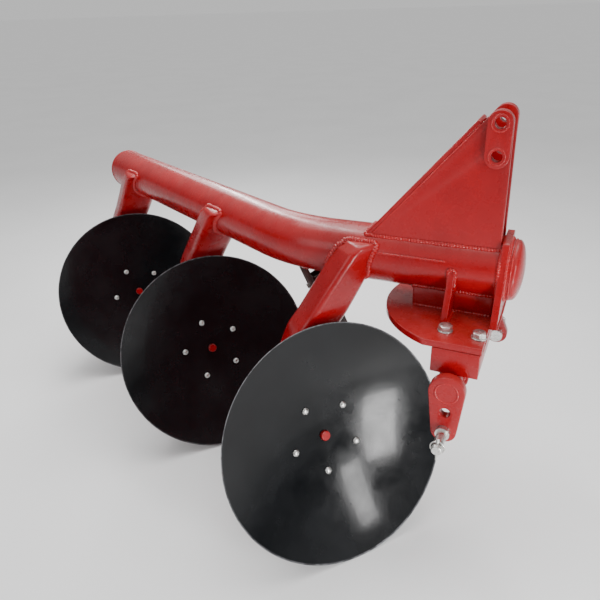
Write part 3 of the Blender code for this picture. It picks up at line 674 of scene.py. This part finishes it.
# ------------------------------------------------------------- parking leg
piv, foot = Vector(LEG_PIVOT), Vector(LEG_FOOT)
down = (foot - piv).normalized()
FOLD = Vector((math.sin(math.radians(LEG_FOLD_DEG)), math.cos(math.radians(LEG_FOLD_DEG)), 0.0))
hinge = down.cross(FOLD).normalized()                      # the leg folds back and out, clear of the discs
leg_axis = bpy.data.objects.new("parking_leg_axis", None)
leg_axis.parent = FRAME
leg_axis.matrix_local = axes(piv, hinge, (-down).cross(hinge), -down)   # Z up the leg, Y back
PARTS.objects.link(leg_axis)
LEG_LEN = (foot - piv).length
half = LEG_SIZE / 2
leg = add("parking_leg", box_mesh(LEG_SIZE, LEG_SIZE, LEG_LEN + 0.025 - 0.004,
                                  (0, 0, (0.025 - LEG_LEN + 0.004) / 2)), "leg", leg_axis, soften=0.005)
cut(leg, cutter("leg_bore", box_mesh(LEG_SIZE - 0.010, LEG_SIZE - 0.010, LEG_LEN,
                                     (0, 0, 0.060 - LEG_LEN / 2)), leg_axis))
cut(leg, cutter("leg_pivot_hole", rod_mesh(0.0095, -0.05, 0.05, 16), leg_axis,
                along((0, 0, 0), (1, 0, 0))))
# trim below the foot's top, then the round foot flat on the ground
cut(leg, cutter("leg_ground", box_mesh(0.4, 0.4, 0.2, (foot.x, foot.y, -0.1 + FOOT_T / 2))))
cut(leg, cutter("leg_foot", rod_mesh(FOOT_R, 0.0, FOOT_T, 24), FRAME,
                Matrix.Translation((foot.x, foot.y, 0))), "UNION")

cheek_x = half + 0.005 + 0.004
holes = [(0, 0, 0.0088), (-0.0305, -0.036, 0.0066)]
cheek = rounded([(-0.044, -0.050), (0.024, -0.050), (0.024, 0.110), (-0.044, 0.110)], (0.012, 0.012, 0, 0), 3)
local_side = axes((0, 0, 0), (0, 1, 0), (0, 0, 1), (1, 0, 0))
for side, sx in (("right", -1), ("left", 1)):
    p = add("leg_bracket_" + side, plate_mesh(cheek, 0.008, holes, 16), "leg", leg_axis,
            Matrix.Translation((sx * cheek_x, 0, 0)) @ local_side)
    cut(p, beam_cutter)
for nm, (py, pz), pr in (("leg_pivot_pin", (0, 0), 0.0080), ("leg_stop_pin", (-0.0305, -0.036), 0.0060)):
    reach = cheek_x + 0.004
    prof = [(0.0, reach + 0.009), (pr + 0.006, reach + 0.009), (pr + 0.006, reach + GAP), (pr, reach + GAP),
            (pr, -reach - 0.008), (0.0, -reach - 0.008)]
    add(nm, turned_mesh(prof, 16), "zinc", leg_axis, along((0, py, pz), (1, 0, 0)))

# --------------------------------------------------------- finished pieces
ROOT = "plough"
RIDES = {"parking_leg": "leg"}
for nm in ("front", "middle", "rear"):
    for part in ("disc_", "hub_", "disc_bolts_"):
        RIDES[part + nm] = "disc_unit_" + nm
HERE = Vector((-ORIGIN_X, -ORIGIN_Y, 0.0))


def beam_distance(p):
    """How far a point of the design frame is from the beam's middle line."""
    y0 = BEND_Y - TANGENT
    if p.y <= y0:
        off = p.x
    else:
        vx, vy = p.x - BEND_RADIUS, p.y - y0
        if math.atan2(vy, -vx) <= BEND:
            off = BEND_RADIUS - math.hypot(vx, vy)
        else:
            off = p.x * OUT.x + (p.y - BEND_Y) * OUT.y
    return math.hypot(off, p.z - BEAM_Z)


def chains(edges):
    """Joins edges that share points into runs of points."""
    near = {}
    key = lambda v: (round(v.x, 5), round(v.y, 5), round(v.z, 5))
    for a_, b_ in edges:
        ka, kb = key(a_), key(b_)
        if ka != kb:
            near.setdefault(ka, set()).add(kb)
            near.setdefault(kb, set()).add(ka)
    out, left = [], set(near)
    while left:
        ends = sorted(k for k in left if len(near[k] & left) == 1) or sorted(left)
        k = ends[0]
        run = [k]
        left.discard(k)
        while True:
            nxt = sorted(near[k] & left)
            if not nxt:
                break
            k = nxt[0]
            run.append(k)
            left.discard(k)
        closed = len(run) > 3 and run[0] in near[run[-1]]
        if len(run) > 2 or (len(run) == 2 and (Vector(run[0]) - Vector(run[1])).length > 0.01):
            out.append(([Vector(q) for q in run], closed))
    return out


def resampled(points, closed, step):
    pts = points + [points[0]] if closed else points
    total = sum((b_ - a_).length for a_, b_ in zip(pts, pts[1:]))
    n = max(int(total / step), 4)
    out, i, run = [], 0, 0.0
    for k in range(n if closed else n + 1):
        want = total * k / n
        while i < len(pts) - 2 and run + (pts[i + 1] - pts[i]).length < want:
            run += (pts[i + 1] - pts[i]).length
            i += 1
        seg = (pts[i + 1] - pts[i]).length
        out.append(pts[i].lerp(pts[i + 1], min(max((want - run) / seg, 0.0), 1.0) if seg > 1e-9 else 0.0))
    for _ in range(2):
        m = len(out)
        out = [(out[k - 1] + out[k] * 2 + out[(k + 1) % m]) / 4 if closed or 0 < k < m - 1 else out[k]
               for k in range(m)]
    return out


def bead(bm, points, closed, radius, seed):
    """One weld run: a lumpy ridge of overlapping ripples along the points."""
    pts = resampled(points, closed, 0.0013)
    m, sides, rings = len(pts), 9, []
    up = None
    for k, p in enumerate(pts):
        t = (pts[(k + 1) % m] if closed or k < m - 1 else p) - (pts[k - 1] if closed or k else p)
        if t.length < 1e-9:
            t = Vector((0, 0, 1))
        t.normalize()
        if up is None:
            up = t.orthogonal().normalized()
        up = (up - t * up.dot(t)).normalized()
        w = t.cross(up)
        s_ = 0.0013 * k
        ripple = abs(math.sin(math.pi * s_ / 0.0075 + 0.8 * noise.noise(p * 60))) ** 0.8
        slow = noise.noise(p * 35 + Vector((seed, 0, 0)))
        rr = radius * (0.70 + 0.38 * ripple + 0.24 * slow)
        if not closed:
            rr *= min(1.0, 0.25 + min(k, m - 1 - k) / 4)
        shift = Vector((noise.noise(p * 50), noise.noise(p * 50 + Vector((7, 1, 3))), 0)) * 0.0006
        rings.append([bm.verts.new(p + shift + (up * math.cos(math.tau * j / sides)
                                               + w * math.sin(math.tau * j / sides)) * rr) for j in range(sides)])
    pairs = list(zip(rings, rings[1:])) + ([(rings[-1], rings[0])] if closed else [])
    for a_, b_ in pairs:
        off = 0
        if closed and a_ is rings[-1]:
            off = min(range(sides), key=lambda o: sum((a_[j].co - b_[(j + o) % sides].co).length
                                                      for j in range(sides)))
        for j in range(sides):
            bm.faces.new((a_[j], a_[(j + 1) % sides], b_[(j + 1 + off) % sides], b_[(j + off) % sides]))
    if not closed:
        bm.faces.new(rings[0][::-1])
        bm.faces.new(rings[-1])


def contact_edges(me, on):
    """Edges where a face that lies on the neighbour meets one that does not."""
    bm = bmesh.new()
    bm.from_mesh(me)
    hit = {f: all(on(v.co - HERE) for v in f.verts) for f in bm.faces}
    out = [(e.verts[0].co - HERE, e.verts[1].co - HERE) for e in bm.edges
           if len(e.link_faces) == 2 and hit[e.link_faces[0]] != hit[e.link_faces[1]]]
    bm.free()
    return out


bpy.context.view_layer.update()
deps = bpy.context.evaluated_depsgraph_get()
FINAL = {}
for name, (ob, look) in LOOK.items():
    me = bpy.data.meshes.new_from_object(ob.evaluated_get(deps))
    me.transform(ob.matrix_world)
    me.name = name + "_skin"
    FINAL[name] = (me, look)

# weld runs, each a closed ridge along the line where two pieces meet
BEAM_JOINT = lambda p: abs(beam_distance(p) - (BEAM_R + GAP)) < 0.0004
WELDS = {}


def weld_group(group, runs, radius):
    bm = WELDS.setdefault(group, bmesh.new())
    for k, (pts, closed) in enumerate(runs):
        bead(bm, pts, closed, radius, len(bm.verts) * 0.37)


for nm in ("front", "middle", "rear"):
    weld_group("arm_" + nm, chains(contact_edges(FINAL["arm_" + nm][0], BEAM_JOINT)), 0.0078)
for nm in ("mast_plate_right", "mast_plate_left", "mast_cover"):
    weld_group("mast", chains(contact_edges(FINAL[nm][0], BEAM_JOINT)), 0.0056)
for nm in ("headstock_front_plate", "headstock_gusset_right", "headstock_gusset_left", "beam_saddle"):
    weld_group("headstock", chains(contact_edges(FINAL[nm][0], BEAM_JOINT)), 0.0056)
for sx in (-1, 1):
    q = math.radians(20)
    weld_group("headstock", [([Vector((sx * BEAM_R * math.cos(q), y_, BEAM_Z + BEAM_R * math.sin(q)))
                               for y_ in (0.160, 0.220, 0.280, 0.340)], False)], 0.0030)
for nm in ("leg_bracket_right", "leg_bracket_left"):
    weld_group("leg_bracket", chains(contact_edges(FINAL[nm][0], BEAM_JOINT)), 0.0036)

# flat runs along the feet of the headstock plates and the saddle, on the turn plate
zt = TURN_Z + 0.0010
for y_ in FRONT_PLATE_Y:
    weld_group("headstock", [([Vector((-FRONT_PLATE_LOW + 0.004, y_, zt)), Vector((0, y_, zt)),
                               Vector((FRONT_PLATE_LOW - 0.004, y_, zt))], False)], 0.0036)
for sx in (-1, 1):
    for y_ in GUSSET_Y:
        weld_group("headstock", [([Vector((sx * 0.054, y_, zt)), Vector((sx * 0.09, y_, zt)),
                                   Vector((sx * (GUSSET_OUT - 0.003), y_, zt))], False)], 0.0036)
    weld_group("headstock", [([Vector((sx * 0.050, 0.040, zt)), Vector((sx * 0.050, 0.140, zt)),
                               Vector((sx * 0.050, 0.240, zt))], False)], 0.0042)
    # along the cover's edges on the mast plates
    side = sx * MAST_HALF
    low_, top_ = edge_low + SLANT * 0.02, edge_top - SLANT * 0.032
    weld_group("mast", [([Vector((side, low_.x, low_.y)), Vector((side, *((low_ + top_) / 2))),
                          Vector((side, top_.x, top_.y))], False)], 0.0020)
    # rings: lugs on the cross shaft, both faces of each lug
    for x_ in (LUG_X - 0.0012, LUG_X - LUG_T):
        ring = [Vector((sx * x_, SHAFT_Y + (SHAFT_R + 0.001) * math.cos(math.tau * k / 40),
                        SHAFT_Z + (SHAFT_R + 0.001) * math.sin(math.tau * k / 40))) for k in range(40)]
        weld_group("shaft", [(ring, True)], 0.0028)
    for x_ in (0.125, 0.175):
        ring = [Vector((sx * x_, SHAFT_Y + (SHAFT_R + 0.0015) * math.cos(math.tau * k / 40),
                        SHAFT_Z + (SHAFT_R + 0.0015) * math.sin(math.tau * k / 40))) for k in range(40)]
        weld_group("shaft", [(ring, True)], 0.0036)
        for y_ in (SHAFT_Y - 0.0345, SHAFT_Y + 0.0345):
            z_ = BOX_Z[0] - 0.001
        weld_group("shaft", [([Vector((sx * x_, SHAFT_Y - 0.034, BOX_Z[0] - 0.001)), Vector((sx * x_, SHAFT_Y, BOX_Z[0] - 0.001)),
                               Vector((sx * x_, SHAFT_Y + 0.034, BOX_Z[0] - 0.001))], False)], 0.0036)
    # raised rings round the top-link holes
    for z_, rr in ((EAR_Z_LOW, 0.0030), (EAR_Z_TOP, 0.0030)):
        x_ = sx * (MAST_HALF + EAR_T - 0.0006)
        ring = [Vector((x_, EAR_Y + 0.0185 * math.cos(math.tau * k / 48), z_ + 0.0185 * math.sin(math.tau * k / 48)))
                for k in range(48)]
        weld_group("ear", [(ring, True)], 0.0024)
    # the carrier's seams under the turn plate, along its front and back faces
    for y_ in BOX_Y:
        yy = y_ + (0.0006 if y_ > 0.1 else -0.0006)
        weld_group("headstock", [([Vector((sx * 0.02, yy, TURN_Z - TURN_T)), Vector((sx * 0.10, yy, TURN_Z - TURN_T)),
                                   Vector((sx * 0.205, yy, TURN_Z - TURN_T))], False)], 0.0028)
# rings: caps on the beam, housings in the arms
for y_, mat in ((BEAM_FRONT_Y, along((0, BEAM_FRONT_Y, BEAM_Z), (0, -1, 0))),
                (0, along(Vector((0, BEND_Y, BEAM_Z)) + BACK * BEAM_REAR, BACK))):
    ring = [mat @ Vector(((BEAM_R - 0.0008) * math.cos(math.tau * k / 80), (BEAM_R - 0.0008) * math.sin(math.tau * k / 80), 0.0))
            for k in range(80)]
    weld_group("beam_ends", [(ring, True)], 0.0026)
for i, nm in enumerate(("front", "middle", "rear")):
    c = Vector((DISC_1[0], DISC_1[1], 0)) + BACK * (DISC_PITCH * i)
    centre = Vector((c.x, c.y, RIM_Z))
    def on_housing(p, centre=centre):
        d_ = p - centre
        return abs((d_ - AXLE * d_.dot(AXLE)).length - (HOUSING_R + 0.0008)) < 0.0005
    weld_group("arm_" + nm, chains(contact_edges(FINAL["arm_" + nm][0], on_housing)), 0.0048)
for group, bm in WELDS.items():
    bmesh.ops.translate(bm, vec=HERE, verts=bm.verts)
    bmesh.ops.recalc_face_normals(bm, faces=bm.faces)
    me = bpy.data.meshes.new("weld_" + group)
    bm.to_mesh(me)
    bm.free()
    FINAL["weld_" + group] = (me, "weld")


# --------------------------------------------------------------- materials
class Nodes:
    """A Principled material and short ways to add nodes to it."""

    def __init__(self, name):
        self.mat = bpy.data.materials.new(name)
        self.mat.use_nodes = True
        self.t = self.mat.node_tree
        self.bsdf = self.t.nodes["Principled BSDF"]
        self.xyz = self.t.nodes.new("ShaderNodeTexCoord").outputs["Object"]

    def link(self, a_, b_):
        self.t.links.new(a_, b_)

    def noise(self, scale, detail=3.0, rough=0.5, vec=None):
        n_ = self.t.nodes.new("ShaderNodeTexNoise")
        n_.inputs["Scale"].default_value = scale
        n_.inputs["Detail"].default_value = detail
        n_.inputs["Roughness"].default_value = rough
        self.link(vec or self.xyz, n_.inputs["Vector"])
        return n_.outputs["Fac"]

    def ramp(self, fac, a_, b_, lo, hi):
        n_ = self.t.nodes.new("ShaderNodeMapRange")
        n_.inputs["From Min"].default_value = a_
        n_.inputs["From Max"].default_value = b_
        n_.inputs["To Min"].default_value = lo
        n_.inputs["To Max"].default_value = hi
        self.link(fac, n_.inputs["Value"])
        return n_.outputs["Result"]

    def math(self, op, a_, b_):
        n_ = self.t.nodes.new("ShaderNodeMath")
        n_.operation = op
        for k, v in enumerate((a_, b_)):
            if isinstance(v, (int, float)):
                n_.inputs[k].default_value = v
            else:
                self.link(v, n_.inputs[k])
        return n_.outputs[0]

    def mix(self, fac, a_, b_):
        n_ = self.t.nodes.new("ShaderNodeMix")
        n_.data_type = "RGBA"
        if isinstance(fac, (int, float)):
            n_.inputs[0].default_value = fac
        else:
            self.link(fac, n_.inputs[0])
        for k, v in ((6, a_), (7, b_)):
            if isinstance(v, tuple):
                n_.inputs[k].default_value = v + (1.0,)
            else:
                self.link(v, n_.inputs[k])
        return n_.outputs[2]

    def bump(self, height, strength, distance, normal=None):
        n_ = self.t.nodes.new("ShaderNodeBump")
        n_.inputs["Strength"].default_value = strength
        n_.inputs["Distance"].default_value = distance
        self.link(height, n_.inputs["Height"])
        if normal is not None:
            self.link(normal, n_.inputs["Normal"])
        return n_.outputs["Normal"]

    def soft_edge(self, radius):
        n_ = self.t.nodes.new("ShaderNodeBevel")
        n_.samples = 4
        n_.inputs["Radius"].default_value = radius
        return n_.outputs["Normal"]

    def edge_mask(self, soft):
        """1 along outer edges, 0 on flats."""
        g = self.t.nodes.new("ShaderNodeNewGeometry")
        d_ = self.t.nodes.new("ShaderNodeVectorMath")
        d_.operation = "DOT_PRODUCT"
        self.link(soft, d_.inputs[0])
        self.link(g.outputs["Normal"], d_.inputs[1])
        return self.ramp(d_.outputs["Value"], 0.995, 0.90, 0.0, 1.0)


def enamel(name, deep, light, edge_wear_and_highlight, rough=(0.20, 0.36), lumps=0.0, coat=0.45):
    m = Nodes(name)
    b_ = m.bsdf
    soft_ = m.soft_edge(0.0022)
    edge = m.edge_mask(soft_)
    tone = m.ramp(m.noise(4.5, 4.0, 0.55), 0.36, 0.64, 0.0, 1.0)
    col = m.mix(tone, deep, light)
    # thin, lighter paint along edges in broken patches, partly wear and partly a painted edge highlight, and a few
    # small chips
    patch = m.ramp(m.noise(70.0, 4.0, 0.6), 0.50, 0.62, 0.0, 0.38)
    col = m.mix(m.math("MULTIPLY", edge, patch), col, edge_wear_and_highlight)
    fleck = m.ramp(m.noise(330.0, 2.0, 0.5), 0.745, 0.77, 0.0, 0.4)
    col = m.mix(fleck, col, tuple(c_ * 0.45 for c_ in deep))
    # salmon tint on upward faces: partly settled dust, partly a painted sheen of the overhead light
    g = m.t.nodes.new("ShaderNodeNewGeometry")
    s_ = m.t.nodes.new("ShaderNodeSeparateXYZ")
    m.link(g.outputs["Normal"], s_.inputs[0])
    top_ = m.ramp(s_.outputs["Z"], 0.35, 1.0, 0.0, 0.07)
    dust_and_sheen = m.math("MULTIPLY", top_, m.ramp(m.noise(22.0, 5.0, 0.6), 0.35, 0.7, 0.25, 1.0))
    col = m.mix(dust_and_sheen, col, (0.74, 0.34, 0.27))
    m.link(col, b_.inputs["Base Color"])
    r_ = m.ramp(m.noise(28.0, 4.0, 0.6), 0.3, 0.7, rough[0], rough[1])
    m.link(m.math("ADD", r_, m.math("MULTIPLY", edge, 0.08)), b_.inputs["Roughness"])
    peel = m.math("ADD", m.noise(210.0, 2.0, 0.5), m.math("MULTIPLY", m.noise(38.0, 2.0, 0.5), 1.4))
    nrm = m.bump(peel, 0.30 + lumps, 0.00055 + lumps * 0.0012, soft_)
    m.link(nrm, b_.inputs["Normal"])
    b_.inputs["Specular IOR Level"].default_value = 0.38
    b_.inputs["Coat Weight"].default_value = coat
    b_.inputs["Coat Roughness"].default_value = 0.09
    return m.mat


# the third colour is the lighter edge tint: part edge wear, part painted edge highlight
RED = enamel("red enamel", (0.25, 0.0005, 0.0028), (0.35, 0.0011, 0.0044), (0.56, 0.040, 0.036), coat=0.16)
# a lighter copy of the red enamel: a painted highlight on the weld beads
WELD = enamel("red enamel over weld", (0.29, 0.0008, 0.0034), (0.45, 0.0040, 0.0075), (0.68, 0.085, 0.07),
              rough=(0.22, 0.38), lumps=0.25, coat=0.30)
LEG = enamel("parking leg grey-brown paint", (0.050, 0.018, 0.016), (0.085, 0.030, 0.026), (0.30, 0.24, 0.21),
             rough=(0.34, 0.52), coat=0.15)


def disc_paint():
    m = Nodes("gloss black disc paint")
    b_ = m.bsdf
    at = m.t.nodes.new("ShaderNodeAttribute")
    at.attribute_name = "from_axis"
    rad = at.outputs["Fac"]
    col = m.mix(m.ramp(m.noise(6.0, 4.0, 0.6), 0.35, 0.65, 0.0, 1.0), (0.0035, 0.0040, 0.0048), (0.0085, 0.0092, 0.0105))
    film = m.math("MULTIPLY", m.ramp(m.noise(14.0, 6.0, 0.65), 0.50, 0.78, 0.0, 0.05),
                  m.ramp(m.noise(150.0, 3.0, 0.6), 0.40, 0.65, 0.3, 1.0))
    col = m.mix(film, col, (0.060, 0.058, 0.055))
    # the ground edge shows brighter steel through thin paint
    rim = m.math("MULTIPLY", m.ramp(rad, DISC_R - 0.0042, DISC_R - 0.0022, 0.0, 1.0),
                 m.ramp(m.noise(45.0, 4.0, 0.6), 0.38, 0.56, 0.25, 0.9))
    col = m.mix(rim, col, (0.17, 0.17, 0.18))
    m.link(col, b_.inputs["Base Color"])
    m.link(m.math("MULTIPLY", rim, 0.55), b_.inputs["Metallic"])
    ring_ = m.t.nodes.new("ShaderNodeTexNoise")
    ring_.noise_dimensions = "1D"
    ring_.inputs["Scale"].default_value = 420.0
    ring_.inputs["Detail"].default_value = 2.0
    m.link(rad, ring_.inputs["W"])
    r_ = m.math("ADD", m.ramp(m.noise(18.0, 5.0, 0.6), 0.3, 0.7, 0.11, 0.22), m.math("MULTIPLY", film, 0.5))
    m.link(m.math("ADD", r_, m.math("MULTIPLY", rim, 0.15)), b_.inputs["Roughness"])
    h_ = m.math("ADD", m.math("MULTIPLY", ring_.outputs["Fac"], 0.35), m.noise(160.0, 2.0, 0.5))
    wave = m.math("MULTIPLY", m.noise(9.0, 2.0, 0.5), 6.0)
    m.link(m.bump(m.math("ADD", h_, wave), 0.16, 0.0007), b_.inputs["Normal"])
    b_.inputs["Specular IOR Level"].default_value = 0.22
    b_.inputs["Coat Weight"].default_value = 0.10
    b_.inputs["Coat Roughness"].default_value = 0.05
    return m.mat


def zinc_plate():
    m = Nodes("bright zinc")
    b_ = m.bsdf
    soft_ = m.soft_edge(0.0010)
    col = m.mix(m.ramp(m.noise(60.0, 4.0, 0.6), 0.35, 0.65, 0.0, 1.0), (0.50, 0.49, 0.46), (0.72, 0.72, 0.71))
    col = m.mix(m.ramp(m.noise(190.0, 3.0, 0.6), 0.60, 0.72, 0.0, 0.45), col, (0.36, 0.33, 0.28))
    m.link(col, b_.inputs["Base Color"])
    b_.inputs["Metallic"].default_value = 0.92
    m.link(m.ramp(m.noise(120.0, 4.0, 0.6), 0.3, 0.7, 0.20, 0.42), b_.inputs["Roughness"])
    m.link(m.bump(m.noise(420.0, 2.0, 0.5), 0.20, 0.0004, soft_), b_.inputs["Normal"])
    return m.mat


MATS = {"red": RED, "weld": WELD, "leg": LEG, "black": disc_paint(), "zinc": zinc_plate()}

# ------------------------------------------------------ place every piece
for ob in list(PARTS.objects) + list(CUTTERS.objects):
    bpy.data.objects.remove(ob, do_unlink=True)
bpy.data.collections.remove(CUTTERS)

for name, (me, look) in FINAL.items():
    me.materials.clear()
    me.materials.append(MATS[look])
    for poly in me.polygons:
        poly.material_index = 0
    me.shade_smooth()
    me.set_sharp_from_angle(angle=math.radians(60 if look == "weld" else 32))
    if name.startswith("disc_") and look == "black":
        i = ("front", "middle", "rear").index(name[5:])
        c = Vector((DISC_1[0], DISC_1[1], 0)) + BACK * (DISC_PITCH * i)
        centre = Vector((c.x, c.y, RIM_Z)) + HERE
        at_ = me.attributes.new("from_axis", "FLOAT", "POINT")
        for v in me.vertices:
            d_ = v.co - centre
            at_.data[v.index].value = (d_ - AXLE * d_.dot(AXLE)).length
    ob = bpy.data.objects.new(name + "_skin", me)
    PARTS.objects.link(ob)
    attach(ob, RIDES.get(name, ROOT))
    if name in frame["nodes"]:
        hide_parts(name)

# -------------------------------------------------- floor, lights, camera
def floor_paint():
    m = Nodes("pale studio floor")
    m.link(m.mix(m.ramp(m.noise(1.3, 3.0, 0.5), 0.35, 0.65, 0.0, 1.0), (0.86, 0.86, 0.86), (0.89, 0.89, 0.89)),
           m.bsdf.inputs["Base Color"])
    m.link(m.ramp(m.noise(5.0, 3.0, 0.5), 0.3, 0.7, 0.55, 0.7), m.bsdf.inputs["Roughness"])
    m.bsdf.inputs["Specular IOR Level"].default_value = 0.2
    return m.mat


bm = bmesh.new()
bmesh.ops.create_grid(bm, x_segments=8, y_segments=8, size=400.0)
floor_mesh = bpy.data.meshes.new("studio_floor")
bm.to_mesh(floor_mesh)
bm.free()
floor = bpy.data.objects.new("studio_floor", floor_mesh)
floor.location = (0, 0, -0.0006)
floor_mesh.materials.append(floor_paint())
bpy.context.scene.collection.objects.link(floor)


def area(name, place, aim, w, h, power, colour=(1, 1, 1)):
    la = bpy.data.lights.new(name, "AREA")
    la.shape = "RECTANGLE"
    la.size, la.size_y, la.energy, la.color = w, h, power, colour
    ob = bpy.data.objects.new(name, la)
    ob.location = place
    ob.rotation_euler = (Vector(aim) - Vector(place)).to_track_quat("-Z", "Y").to_euler()
    ob.visible_camera = False
    bpy.context.scene.collection.objects.link(ob)
    return ob


area("top_softbox", (0.5, -0.1, 3.1), (0.0, 0.0, 0.3), 2.6, 2.2, 62)
area("key_window", (-1.35, -2.75, 1.3), (-0.2, -0.2, 0.4), 0.35, 1.0, 26)
area("low_strip", (-0.98, -1.52, 0.34), (-0.25, -0.55, 0.40), 0.20, 0.42, 9)
area("tube_light", (0.9, 0.6, 2.1), (0.0, 0.1, 0.75), 0.16, 2.4, 22)
area("left_fill", (-3.0, 1.2, 1.8), (0.0, 0.0, 0.5), 1.6, 1.6, 16)
area("back_rim", (2.6, 1.6, 2.2), (0.0, 0.0, 0.6), 1.4, 1.4, 26)

world = bpy.data.worlds.new("studio")
world.use_nodes = True
# an overhead dome: bright above, dim towards the horizon
wt = world.node_tree
wt.nodes["Background"].inputs["Color"].default_value = (1.0, 1.0, 1.0, 1.0)
sky_at = wt.nodes.new("ShaderNodeTexCoord")
sky_xyz = wt.nodes.new("ShaderNodeSeparateXYZ")
sky = wt.nodes.new("ShaderNodeMapRange")
sky.interpolation_type = "SMOOTHSTEP"
for key_, value in (("From Min", 0.02), ("From Max", 0.80), ("To Min", 0.10), ("To Max", 0.88)):
    sky.inputs[key_].default_value = value
wt.links.new(sky_at.outputs["Generated"], sky_xyz.inputs[0])
wt.links.new(sky_xyz.outputs["Z"], sky.inputs["Value"])
band = wt.nodes.new("ShaderNodeMapRange")
for key_, value in (("From Min", 0.03), ("From Max", 0.08), ("To Min", 0.55), ("To Max", 0.0)):
    band.inputs[key_].default_value = value
wt.links.new(sky_xyz.outputs["Z"], band.inputs["Value"])
both = wt.nodes.new("ShaderNodeMath")
wt.links.new(sky.outputs["Result"], both.inputs[0])
wt.links.new(band.outputs["Result"], both.inputs[1])
wt.links.new(both.outputs[0], wt.nodes["Background"].inputs["Strength"])
bpy.context.scene.world = world

cam_data = bpy.data.cameras.new("camera")
cam_data.lens, cam_data.sensor_width = 34.964, 36.0
cam_data.clip_start, cam_data.clip_end = 0.05, 1500.0
cam = bpy.data.objects.new("camera", cam_data)
right, up_, fwd = Vector((0.41086, -0.91125, -0.02874)), Vector((0.41761, 0.16008, 0.89441)), Vector((0.81043, 0.37948, -0.44632))
cam.matrix_world = axes((-1.4667, -0.9393, 1.3602), right, up_, -fwd)
bpy.context.scene.collection.objects.link(cam)
bpy.context.scene.camera = cam
